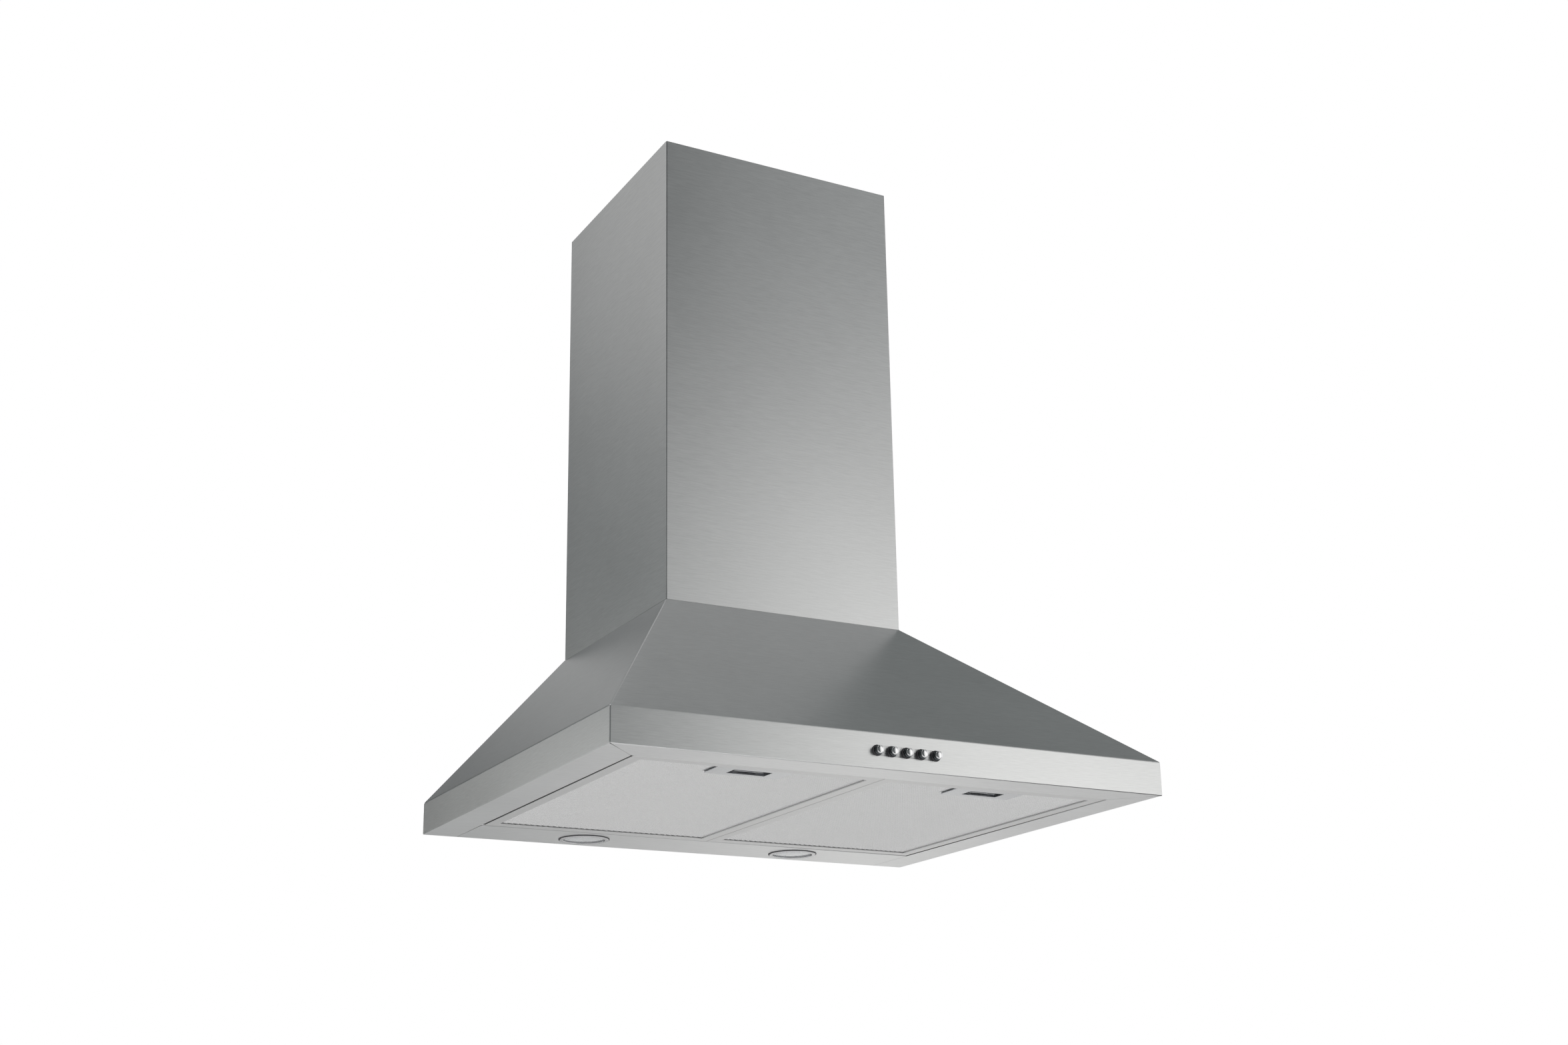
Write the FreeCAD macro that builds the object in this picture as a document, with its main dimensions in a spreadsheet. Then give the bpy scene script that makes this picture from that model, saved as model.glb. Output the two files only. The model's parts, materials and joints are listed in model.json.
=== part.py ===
"""Chimney range hood, 60 cm wide, as separate pieces in one frame.

Millimetres.  +X is the hood's right as a cook sees it, +Y points into the wall, +Z is up.
The wall is the plane y = 0, and the origin lies on it midway between the two lower wall
screws.  Heights in the formulas count from the lower edge of the skirt band.
"""
import FreeCAD, Part
import os
import Sketcher

doc = FreeCAD.newDocument("chimney_range_hood")
dims = doc.addObject("Spreadsheet::Sheet", "dims")

SIZES = [
    # canopy
    ("hood_width", 600),
    ("hood_depth", 500),
    ("skirt_height", 34),
    ("pyramid_height", 177),
    ("canopy_sheet", 1.0),
    ("front_flange", 40),
    ("side_flange", 38),
    ("lip_height", 5.4),
    ("rear_lip_height", 16.2),
    ("mitre_slit", 0.5),
    ("seam_gap", 0.3),
    # wall plate
    ("wall_hole_height", 60),
    ("wall_hole_spacing", 360),
    ("wall_hole_radius", 4),
    ("keyhole_height", 150),
    ("keyhole_spacing", 220),
    ("keyhole_head_radius", 8),
    ("keyhole_slot_radius", 3.5),
    ("keyhole_rise", 14),
    # chimney covers
    ("chimney_width", 280),
    ("chimney_depth", 272),
    ("chimney_height", 526),
    ("chimney_sheet", 0.8),
    ("chimney_return", 20),
    ("upper_return", 17),
    ("nest_gap", 0.5),
    ("upper_height", 470),
    ("bracket_height", 30),
    ("bracket_sheet", 2),
    ("bracket_ear", 26),
    ("bracket_half", 116),
    ("bracket_drop", 12),
    ("bracket_hole_spacing", 180),
    ("bracket_hole_radius", 3.5),
    # lamp strip and lamps
    ("lamp_strip_depth", 77),
    ("lamp_spacing", 260),
    ("lamp_inset", 39),
    ("lamp_hole_radius", 25),
    ("bezel_radius", 28),
    ("bezel_proud", 1.6),
    ("bezel_bevel", 2.4),
    ("bezel_bore", 21.8),
    ("bezel_height", 18),
    ("bezel_wall", 1),
    ("bezel_ledge", 0.4),
    ("glass_thickness", 2),
    ("bulb_height", 30),
    ("bulb_neck_radius", 9),
    ("bulb_neck", 8),
    ("bulb_shell", 1.5),
    ("holder_width", 18),
    ("holder_depth", 12.6),
    ("holder_height", 14),
    ("terminal_width", 11),
    ("terminal_height", 3),
    # buttons
    ("button_pitch", 16),
    ("button_height", 17),
    ("button_radius", 4.4),
    ("button_proud", 7.8),
    ("button_dome", 1.3),
    ("button_travel", 4),
    ("button_stem_width", 3.6),
    ("button_stem", 14),
    ("button_ring_radius", 5.6),
    ("button_ring_proud", 2),
    ("button_hole_radius", 4.85),
    ("button_heel", 0.9),
    ("button_crown_radius", 2.6),
    ("button_crown_rise", 0.4),
    ("running_fit", 0.05),
    ("rest_gap", 0.1),
    ("switch_block_depth", 27),
    ("switch_block_height", 25),
    ("switch_block_margin", 8),
    ("switch_well_gap", 0.4),
    ("switch_overtravel", 1.5),
    # grease filters
    ("filter_side_gap", 2.5),
    ("filter_rear_gap", 2.5),
    ("filter_front_gap", 0.3),
    ("filter_centre_gap", 0.8),
    ("filter_height", 9.5),
    ("filter_rail", 12),
    ("rail_hem", 1.6),
    ("filter_sheet", 1.0),
    ("mesh_sheet", 0.6),
    ("mesh_columns", 6),
    ("mesh_rows", 5),
    ("mesh_strand", 6),
    ("back_mesh_columns", 4),
    ("back_mesh_rows", 4),
    ("filter_fit", 0.2),
    ("latch_notch_gap", 1),
    ("hook_width", 20),
    ("hook_reach", 8),
    ("hook_sheet", 1.5),
    ("hook_spacing", 160),
    # filter latches
    ("latch_plate_width", 78),
    ("latch_plate_depth", 31),
    ("latch_plate_sheet", 1.4),
    ("latch_well_width", 40),
    ("latch_well_depth", 17),
    ("latch_well_inset", 6.7),
    ("latch_wall", 1),
    ("tongue_width", 30),
    ("tongue_sheet", 1.5),
    ("tongue_reach", 4.5),
    ("tongue_lift", 0.2),
    ("pull_inset", 10.5),
    ("spring_sheet", 0.4),
    ("spring_width", 3),
    ("spring_half", 13.3),
    ("spring_crown", 4),
    ("spring_level", 2),
    # blower
    ("case_side_gap", 12),
    ("case_front_gap", 9),
    ("case_height", 270),
    ("case_sheet", 1),
    ("case_flange", 12),
    ("case_back_gap", 9),
    ("blower_back", 152),
    ("blower_height", 119),
    ("volute_radius", 86),
    ("volute_step", 16),
    ("volute_wall", 1.5),
    ("volute_half_width", 62),
    ("volute_lip", 9),
    ("neck_rise", 22),
    ("inlet_radius", 64),
    ("impeller_radius", 74.5),
    ("blade_root_radius", 60),
    ("blade_count", 24),
    ("blade_sheet", 1.4),
    ("blade_lean", 9),
    ("blade_bend_radius", 69),
    ("blade_bend_lean", 2.5),
    ("impeller_half_width", 56),
    ("impeller_disc", 2),
    ("hoop_width", 3),
    ("hoop_sheet", 1.5),
    ("hoop_overlap", 0.6),
    ("hub_radius", 9),
    ("hub_length", 14),
    ("shaft_radius", 4),
    ("shaft_end", 4),
    ("motor_radius", 38),
    ("motor_length", 58),
    ("motor_nose_radius", 12.5),
    ("motor_nose", 3),
    ("shaft_in_motor", 28),
    ("damper_count", 3),
    ("damper_circle", 74),
    ("damper_radius", 6),
    ("damper_height", 6),
    ("spider_sheet", 2),
    ("spider_arm", 14),
    ("spider_disc_radius", 26.6),
    ("grille_sheet", 2),
    ("grille_bar", 2.4),
    ("grille_rim", 6),
    ("grille_hub_radius", 23),
    ("grille_spokes", 6),
    ("capacitor_radius", 15),
    ("capacitor_height", 58),
    ("capacitor_level", 30),
    ("capacitor_gap", 4),
    ("capacitor_foot_width", 10),
    ("capacitor_foot_height", 6),
    # outlet
    ("outlet_radius", 75),
    ("outlet_wall", 2.4),
    ("outlet_height", 45),
    ("outlet_flange", 11),
    ("outlet_flange_sheet", 3),
    ("flap_axis_height", 14),
    ("flap_axis_offset", 7),
    ("flap_pin_radius", 1.5),
    ("flap_sheet", 1.2),
    ("flap_gap", 0.9),
    ("flap_knuckle_radius", 3),
    ("flap_knuckle_half", 58),
    ("flap_stop_width", 14),
    ("flap_stop_reach", 4),
    ("flap_stop_height", 3),
    ("flap_bar_gap", 0.5),
    ("flap_bar_height", 12),
    ("flap_bar_drop", 8),
    ("pin_inset", 1.5),
    # electrics
    ("junction_width", 74),
    ("junction_depth", 30),
    ("junction_height", 58),
    ("junction_wall", 2),
    ("junction_inset", 122),
    ("junction_rise", 44),
    ("junction_screw_inset", 6),
    ("gland_radius", 9),
    ("gland_height", 9),
    ("gland_nut_radius", 7.2),
    ("gland_nut_height", 6),
    ("gland_bore", 4),
    # fasteners
    ("screw_head_radius", 4),
    ("screw_head_height", 2.4),
]
for row, (alias, size) in enumerate(SIZES, start=1):
    dims.set(f"A{row}", alias)
    dims.set(f"B{row}", str(size))
    dims.setAlias(f"B{row}", alias)
doc.recompute()

SUBPARTS = []

# Places that several pieces share.
CHIMNEY_BASE = "(dims.skirt_height + dims.pyramid_height)"
OPENING_HALF = "(dims.hood_width / 2 - dims.side_flange)"
OPENING_FRONT = "(dims.front_flange - dims.hood_depth)"
SIDE_RUN = "((dims.hood_width - dims.chimney_width) / 2)"
FRONT_RUN = "(dims.hood_depth - dims.chimney_depth)"
# A sheet's thickness measured level through a sloping wall.
SIDE_INSET = f"(dims.canopy_sheet * sqrt({SIDE_RUN} ^ 2 + dims.pyramid_height ^ 2) / dims.pyramid_height)"
FRONT_INSET = f"(dims.canopy_sheet * sqrt({FRONT_RUN} ^ 2 + dims.pyramid_height ^ 2) / dims.pyramid_height)"
CASE_WIDTH = "(dims.chimney_width - 2 * dims.case_side_gap)"
CASE_DEPTH = "(dims.chimney_depth - dims.case_back_gap - dims.case_front_gap)"
CASE_FRONT = "(dims.chimney_depth - dims.case_front_gap)"
CASE_MIDDLE = f"(({CASE_FRONT} + dims.case_back_gap) / 2)"
BLOWER_LEVEL = f"({CHIMNEY_BASE} + dims.blower_height)"
NECK_TOP = "(dims.case_height - dims.case_sheet - dims.blower_height)"


def number(expression):
    """Present value of a formula."""
    value = dims.evalExpression(expression)
    return float(getattr(value, "Value", value))


def bind(item, **formulas):
    for name, formula in formulas.items():
        item.setExpression(name, formula)
    return item


def place(item, x="0", y="0", z="0"):
    """Put an item at x, y and a height above the skirt's lower edge."""
    item.setExpression("Placement.Base.x", x)
    item.setExpression("Placement.Base.y", y)
    item.setExpression("Placement.Base.z", f"{z} - dims.wall_hole_height")
    return item


def subpart(item, label, x="0", y="0", z="0"):
    item.Label = label
    place(item, x, y, z)
    SUBPARTS.append(item)
    return item


def box(x, y, z, length, width, height):
    item = doc.addObject("Part::Box", "box")
    bind(item, Length=length, Width=width, Height=height)
    item.setExpression("Placement.Base.x", x)
    item.setExpression("Placement.Base.y", y)
    item.setExpression("Placement.Base.z", z)
    return item


def along(item, axis, x, y, z):
    """Turn an upright item to the +X, +Y or +Z axis and put its foot at x, y, z."""
    turns = {
        "X": FreeCAD.Rotation(FreeCAD.Vector(0, 1, 0), 90),
        "Y": FreeCAD.Rotation(FreeCAD.Vector(1, 0, 0), -90),
        "Z": FreeCAD.Rotation(),
    }
    item.Placement = FreeCAD.Placement(FreeCAD.Vector(), turns[axis])
    item.setExpression("Placement.Base.x", x)
    item.setExpression("Placement.Base.y", y)
    item.setExpression("Placement.Base.z", z)
    return item


def rod(axis, x, y, z, radius, length):
    item = doc.addObject("Part::Cylinder", "rod")
    bind(item, Radius=radius, Height=length)
    return along(item, axis, x, y, z)


def hex_bar(axis, x, y, z, corner_radius, length):
    item = doc.addObject("Part::Prism", "hex_bar")
    item.Polygon = 6
    bind(item, Circumradius=corner_radius, Height=length)
    return along(item, axis, x, y, z)


def screw_head(axis, x, y, z):
    return hex_bar(axis, x, y, z, "dims.screw_head_radius", "dims.screw_head_height")


def fuse(*items):
    item = doc.addObject("Part::MultiFuse", "fuse")
    item.Shapes = list(items)
    return item


def cut(base, *tools):
    item = doc.addObject("Part::Cut", "cut")
    item.Base = base
    item.Tool = tools[0] if len(tools) == 1 else fuse(*tools)
    return item


def common(first, second):
    item = doc.addObject("Part::Common", "common")
    item.Base = first
    item.Tool = second
    return item


def group(*items):
    item = doc.addObject("Part::Compound", "group")
    item.Links = list(items)
    return item


def closed_wire(corners):
    points = [FreeCAD.Vector(x, y, 0) for x, y in corners]
    return Part.makePolygon(points + points[:1])


def add_body(label, x="0", y="0", z="0"):
    return subpart(doc.addObject("PartDesign::Body", label), label, x, y, z)


def origin_feature(body, role):
    return next(item for item in body.Origin.OriginFeatures if item.Role == role)


def add_sketch(body, plane, offset="0"):
    """Empty sketch on an origin plane; its axes are XY, XZ (facing -Y) or YZ (facing +X)."""
    sketch = body.newObject("Sketcher::SketchObject", "outline")
    sketch.AttachmentSupport = [(origin_feature(body, plane), "")]
    sketch.MapMode = "FlatFace"
    sketch.setExpression("AttachmentOffset.Base.z", offset)
    return sketch


def pin_point(sketch, geometry, point, x, y):
    for kind, formula in (("DistanceX", x), ("DistanceY", y)):
        constraint = Sketcher.Constraint(kind, -1, 1, geometry, point, number(formula))
        index = sketch.addConstraint(constraint)
        sketch.setExpression(f"Constraints[{index}]", formula)


def fix_radius(sketch, geometry, radius):
    index = sketch.addConstraint(Sketcher.Constraint("Radius", geometry, number(radius)))
    sketch.setExpression(f"Constraints[{index}]", radius)


def outline(sketch, corners, arcs=None):
    """Closed outline; arcs maps an edge's number to its radius, and 1 or -1 for a left or right bend."""
    arcs = arcs or {}
    up = FreeCAD.Vector(0, 0, 1)
    points = [FreeCAD.Vector(number(x), number(y), 0) for x, y in corners]
    first = sketch.GeometryCount
    starts = []
    ends = []
    for edge, start in enumerate(points):
        end = points[(edge + 1) % len(points)]
        if edge not in arcs:
            sketch.addGeometry(Part.LineSegment(start, end))
            starts.append(1)
            ends.append(2)
            continue
        radius, bend = arcs[edge]
        half = (end - start) * 0.5
        side = up.cross(half).normalize() * bend
        rise = (number(radius) ** 2 - half.Length ** 2) ** 0.5
        centre = start + half + side * rise
        middle = centre - side * number(radius)
        sketch.addGeometry(Part.Arc(start, middle, end))
        starts.append(1 if bend > 0 else 2)
        ends.append(2 if bend > 0 else 1)
    for edge, (x, y) in enumerate(corners):
        after = (edge + 1) % len(corners)
        sketch.addConstraint(
            Sketcher.Constraint("Coincident", first + edge, ends[edge], first + after, starts[after])
        )
        pin_point(sketch, first + edge, starts[edge], x, y)
        if edge in arcs:
            fix_radius(sketch, first + edge, arcs[edge][0])
    return sketch


def circle(sketch, x, y, radius):
    centre = FreeCAD.Vector(number(x), number(y), 0)
    geometry = sketch.addGeometry(Part.Circle(centre, FreeCAD.Vector(0, 0, 1), number(radius)))
    pin_point(sketch, geometry, 3, x, y)
    fix_radius(sketch, geometry, radius)
    return sketch


def rectangle(sketch, x_low, y_low, x_high, y_high):
    return outline(sketch, [(x_low, y_low), (x_high, y_low), (x_high, y_high), (x_low, y_high)])


def pad(body, sketch, length, against=False):
    feature = body.newObject("PartDesign::Pad", "pad")
    feature.Profile = sketch
    feature.Reversed = against
    bind(feature, Length=length)
    return feature


def pocket(body, sketch, length, along=True):
    """Cut along the sketch's facing direction, or against it."""
    feature = body.newObject("PartDesign::Pocket", "pocket")
    feature.Profile = sketch
    feature.Reversed = along
    bind(feature, Length=length)
    return feature


def drill(body, sketch):
    """Cut a sketch's outlines through everything, both ways."""
    feature = body.newObject("PartDesign::Pocket", "drill")
    feature.Profile = sketch
    feature.Type = "ThroughAll"
    feature.SideType = "Symmetric"
    return feature


def taper(body, kind, levels, low, high, back):
    """Wedge that tapers upwards; low and high give half the width, and the depth in front of the wall."""
    feature = body.newObject(f"PartDesign::{kind}", "taper")
    # the wedge's own Y runs up and its own Z runs to the front
    feature.Placement = FreeCAD.Placement(FreeCAD.Vector(), FreeCAD.Rotation(FreeCAD.Vector(1, 0, 0), 90))
    bind(
        feature,
        Ymin=levels[0],
        Ymax=levels[1],
        Xmin=f"-{low[0]}",
        Xmax=low[0],
        X2min=f"-{high[0]}",
        X2max=high[0],
        Zmin=f"-{back}",
        Zmax=low[1],
        Z2min=f"-{back}",
        Z2max=high[1],
    )
    return feature


def revolve(body, sketch, axis):
    feature = body.newObject("PartDesign::Revolution", "revolution")
    feature.Profile = sketch
    feature.ReferenceAxis = (sketch, [axis])
    feature.Angle = 360
    return feature


def polar(body, feature, axis, count):
    pattern = body.newObject("PartDesign::PolarPattern", "pattern")
    pattern.Originals = [feature]
    pattern.Axis = (origin_feature(body, axis), [""])
    pattern.Angle = 360
    pattern.setExpression("Occurrences", count)
    body.Tip = pattern
    return pattern


# ---------------------------------------------------------------- canopy

def canopy_rectangle(body, level, half, front, back):
    sketch = add_sketch(body, "XY_Plane", level)
    return rectangle(sketch, f"-{half}", f"-{front}", half, back)


def canopy_shell():
    """Skirt band and pyramid of one folded sheet, with flanges turned in below and on top."""
    sheet = "dims.canopy_sheet"
    body = add_body("canopy_shell")
    skirt_half = "(dims.hood_width / 2)"
    top_half = "(dims.chimney_width / 2)"
    below_top = f"({CHIMNEY_BASE} - {sheet})"
    pad(body, canopy_rectangle(body, "0", skirt_half, "dims.hood_depth", "0"), "dims.skirt_height")
    skirt = (skirt_half, "dims.hood_depth")
    top = (top_half, "dims.chimney_depth")
    taper(body, "AdditiveWedge", ("dims.skirt_height", CHIMNEY_BASE), skirt, top, "0")
    # hollow, open towards the wall
    back = sheet
    inner_half = f"({skirt_half} - {sheet})"
    inner_front = f"(dims.hood_depth - {sheet})"
    floor = canopy_rectangle(body, sheet, inner_half, inner_front, back)
    pocket(body, floor, f"dims.skirt_height - {sheet}")
    slope_half = f"({skirt_half} - {SIDE_INSET})"
    slope_front = f"(dims.hood_depth - {FRONT_INSET})"
    crown_half = f"({top_half} + {SIDE_RUN} * {sheet} / dims.pyramid_height - {SIDE_INSET})"
    crown_front = f"(dims.chimney_depth + {FRONT_RUN} * {sheet} / dims.pyramid_height - {FRONT_INSET})"
    slope = (slope_half, slope_front)
    crown = (crown_half, crown_front)
    taper(body, "SubtractiveWedge", ("dims.skirt_height", below_top), slope, crown, back)
    # openings below and on top
    mouth = canopy_rectangle(body, "0", OPENING_HALF, f"(-{OPENING_FRONT})", back)
    pocket(body, mouth, sheet)
    case_inner = f"({CASE_WIDTH} / 2 - dims.case_flange)"
    way_up = add_sketch(body, "XY_Plane", below_top)
    rectangle(
        way_up,
        f"-{case_inner}",
        f"-({CASE_FRONT} - dims.case_flange)",
        case_inner,
        "-(dims.case_back_gap + dims.case_flange)",
    )
    pocket(body, way_up, sheet)
    # lips that stiffen the mouth and carry the filters
    lip = add_sketch(body, "XY_Plane", sheet)
    lip_half = f"({OPENING_HALF} + {sheet})"
    lip_front = f"({OPENING_FRONT} - {sheet})"
    lip_back = f"(-{sheet})"
    outline(
        lip,
        [
            (f"-{lip_half}", lip_back),
            (f"-{lip_half}", lip_front),
            (lip_half, lip_front),
            (lip_half, lip_back),
            (OPENING_HALF, lip_back),
            (OPENING_HALF, OPENING_FRONT),
            (f"-{OPENING_HALF}", OPENING_FRONT),
            (f"-{OPENING_HALF}", lip_back),
        ],
    )
    pad(body, lip, f"dims.lip_height - {sheet}")
    # open mitres at the two front corners
    mitre_front = f"(-{inner_front})"
    for side in ("", "-"):
        mitre = add_sketch(body, "XY_Plane", "0")
        outline(
            mitre,
            [
                (f"{side}{OPENING_HALF}", f"({OPENING_FRONT} + dims.mitre_slit)"),
                (f"{side}{inner_half}", f"({mitre_front} + dims.mitre_slit)"),
                (f"{side}{inner_half}", mitre_front),
                (f"{side}({inner_half} - dims.mitre_slit)", mitre_front),
                (f"{side}({OPENING_HALF} - dims.mitre_slit)", OPENING_FRONT),
            ],
        )
        pocket(body, mitre, sheet)
    # five round holes for the button rings
    holes = add_sketch(body, "XZ_Plane", inner_front)
    for index in range(-2, 3):
        x = f"({index} * dims.button_pitch)"
        circle(holes, x, "dims.button_height", "dims.button_hole_radius")
    pocket(body, holes, sheet)
    return body


def back_plate():
    """Flat plate that closes the canopy towards the wall and hangs on the wall screws."""
    body = add_body("back_plate")
    sheet = "dims.canopy_sheet"
    top = f"({CHIMNEY_BASE} - {sheet})"
    skirt_half = f"(dims.hood_width / 2 - {sheet})"
    slope_half = f"(dims.hood_width / 2 - {SIDE_INSET})"
    top_half = f"(dims.chimney_width / 2 + {SIDE_RUN} * {sheet} / dims.pyramid_height - {SIDE_INSET})"
    face = add_sketch(body, "XZ_Plane")
    right = [
        (skirt_half, sheet),
        (skirt_half, "dims.skirt_height"),
        (slope_half, "dims.skirt_height"),
        (top_half, top),
    ]
    left = [(f"-{x}", z) for x, z in reversed(right)]
    outline(face, right + left)
    pad(body, face, sheet)
    holes = add_sketch(body, "XZ_Plane")
    for side in ("", "-"):
        circle(holes, f"{side}(dims.wall_hole_spacing / 2)", "dims.wall_hole_height", "dims.wall_hole_radius")
        circle(holes, f"{side}(dims.keyhole_spacing / 2)", "dims.keyhole_height", "dims.keyhole_head_radius")
    drill(body, holes)
    slots = add_sketch(body, "XZ_Plane")
    slot_top = "(dims.keyhole_height + dims.keyhole_rise)"
    for side in (1, -1):
        middle = f"({side} * dims.keyhole_spacing / 2)"
        left_edge = f"({middle} - dims.keyhole_slot_radius)"
        right_edge = f"({middle} + dims.keyhole_slot_radius)"
        outline(
            slots,
            [
                (left_edge, "dims.keyhole_height"),
                (right_edge, "dims.keyhole_height"),
                (right_edge, slot_top),
                (middle, f"({slot_top} + dims.keyhole_slot_radius)"),
                (left_edge, slot_top),
            ],
            {2: ("dims.keyhole_slot_radius", 1), 3: ("dims.keyhole_slot_radius", 1)},
        )
    drill(body, slots)
    return body


def lamp_strip():
    """Panel behind the filters that carries the two lamps."""
    body = add_body("lamp_strip")
    sheet = "dims.canopy_sheet"
    half = f"({OPENING_HALF} - dims.seam_gap)"
    front = "(-dims.lamp_strip_depth)"
    face = add_sketch(body, "XY_Plane")
    rectangle(face, f"-{half}", front, half, "0")
    for side in ("", "-"):
        circle(face, f"{side}(dims.lamp_spacing / 2)", "-dims.lamp_inset", "dims.lamp_hole_radius")
    pad(body, face, sheet)
    front_lip = add_sketch(body, "XY_Plane", sheet)
    rectangle(front_lip, f"-{half}", front, half, f"({front} + {sheet})")
    pad(body, front_lip, f"dims.lip_height - {sheet}")
    rear_lip = add_sketch(body, "XY_Plane", sheet)
    rectangle(rear_lip, f"-{half}", f"(-2 * {sheet})", half, f"(-{sheet})")
    pad(body, rear_lip, f"dims.rear_lip_height - {sheet}")
    return body


# ---------------------------------------------------------------- chimney

def cover(label, inset, turned, height, level):
    """U-shaped chimney cover with its rear edges turned in."""
    body = add_body(label, z=level)
    sheet = "dims.chimney_sheet"
    half = f"(dims.chimney_width / 2 - {inset})"
    inner_half = f"({half} - {sheet})"
    front = f"({inset} - dims.chimney_depth)"
    back = f"(-{inset})"
    right = [
        (f"({half} - {turned})", back),
        (f"({half} - {turned})", f"({back} - {sheet})"),
        (inner_half, f"({back} - {sheet})"),
        (inner_half, f"({front} + {sheet})"),
    ]
    left = [(f"-{x}", y) for x, y in reversed(right)]
    outer = [(f"-{half}", back), (f"-{half}", front), (half, front), (half, back)]
    section = add_sketch(body, "XY_Plane")
    outline(section, right + left + outer)
    pad(body, section, height)
    return body


def chimney():
    cover("lower_chimney_cover", "0", "dims.chimney_return", "dims.chimney_height", CHIMNEY_BASE)
    inset = "(dims.chimney_sheet + dims.nest_gap)"
    rise = f"({CHIMNEY_BASE} + dims.chimney_height - dims.upper_height)"
    cover("upper_chimney_cover", inset, "dims.upper_return", "dims.upper_height", rise)
    # bracket screwed to the wall, which the upper cover hangs on
    level = f"({CHIMNEY_BASE} + dims.chimney_height - dims.bracket_drop - dims.bracket_height)"
    body = add_body("chimney_wall_bracket", z=level)
    sheet = "dims.bracket_sheet"
    outer = f"(dims.chimney_width / 2 - {inset} - dims.chimney_sheet)"
    joggle = f"(-({inset} + dims.chimney_sheet))"
    right = [
        ("dims.bracket_half", "0"),
        ("dims.bracket_half", joggle),
        (outer, joggle),
        (outer, f"({joggle} - dims.bracket_ear)"),
        (f"({outer} - {sheet})", f"({joggle} - dims.bracket_ear)"),
        (f"({outer} - {sheet})", f"({joggle} - {sheet})"),
        (f"(dims.bracket_half - {sheet})", f"({joggle} - {sheet})"),
        (f"(dims.bracket_half - {sheet})", f"(-{sheet})"),
    ]
    left = [(f"-{x}", y) for x, y in reversed(right)]
    section = add_sketch(body, "XY_Plane")
    outline(section, right + left)
    pad(body, section, "dims.bracket_height")
    holes = add_sketch(body, "XZ_Plane")
    for side in ("", "-"):
        x = f"{side}(dims.bracket_hole_spacing / 2)"
        circle(holes, x, "dims.bracket_height / 2", "dims.bracket_hole_radius")
    drill(body, holes)


# ---------------------------------------------------------------- lamps

def lamp(name, side):
    """Recessed halogen lamp: bezel, glass, reflector bulb and holder."""
    x = f"{side}(dims.lamp_spacing / 2)"
    y = "-dims.lamp_inset"
    bezel = add_body(f"lamp_bezel_{name}", x, y)
    sleeve = "(dims.lamp_hole_radius - dims.seam_gap)"
    bore = f"({sleeve} - dims.bezel_wall)"
    section = add_sketch(bezel, "XZ_Plane")
    outline(
        section,
        [
            ("dims.bezel_bore", "-dims.bezel_proud"),
            ("(dims.bezel_radius - dims.bezel_bevel)", "-dims.bezel_proud"),
            ("dims.bezel_radius", "0"),
            (sleeve, "0"),
            (sleeve, "dims.bezel_height"),
            (bore, "dims.bezel_height"),
            (bore, "dims.bezel_ledge"),
            ("dims.bezel_bore", "dims.bezel_ledge"),
        ],
    )
    revolve(bezel, section, "V_Axis")
    glass = rod("Z", "0", "0", "0", f"({bore} - dims.seam_gap)", "dims.glass_thickness")
    subpart(glass, f"lamp_glass_{name}", x, y, "dims.bezel_ledge")
    bulb = add_body(f"lamp_bulb_{name}", x, y)
    rim = "(dims.bezel_ledge + dims.glass_thickness)"
    rim_radius = f"({bore} - 2 * dims.seam_gap)"
    top = "dims.bulb_height"
    shoulder = f"({top} - dims.bulb_neck)"
    section = add_sketch(bulb, "XZ_Plane")
    outline(
        section,
        [
            ("0", f"({shoulder} - dims.bulb_shell)"),
            ("(dims.bulb_neck_radius - dims.bulb_shell)", f"({shoulder} - dims.bulb_shell)"),
            (f"({rim_radius} - dims.bulb_shell)", rim),
            (rim_radius, rim),
            ("dims.bulb_neck_radius", shoulder),
            ("dims.bulb_neck_radius", top),
            ("0", top),
        ],
    )
    revolve(bulb, section, "V_Axis")
    base = box(
        "-dims.holder_width / 2",
        "-dims.holder_depth / 2",
        top,
        "dims.holder_width",
        "dims.holder_depth",
        "dims.holder_height",
    )
    terminals = box(
        "-dims.terminal_width / 2",
        "-dims.terminal_width / 2",
        f"{top} + dims.holder_height",
        "dims.terminal_width",
        "dims.terminal_width",
        "dims.terminal_height",
    )
    subpart(fuse(base, terminals), f"lampholder_{name}", x, y)


# ---------------------------------------------------------------- buttons

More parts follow.
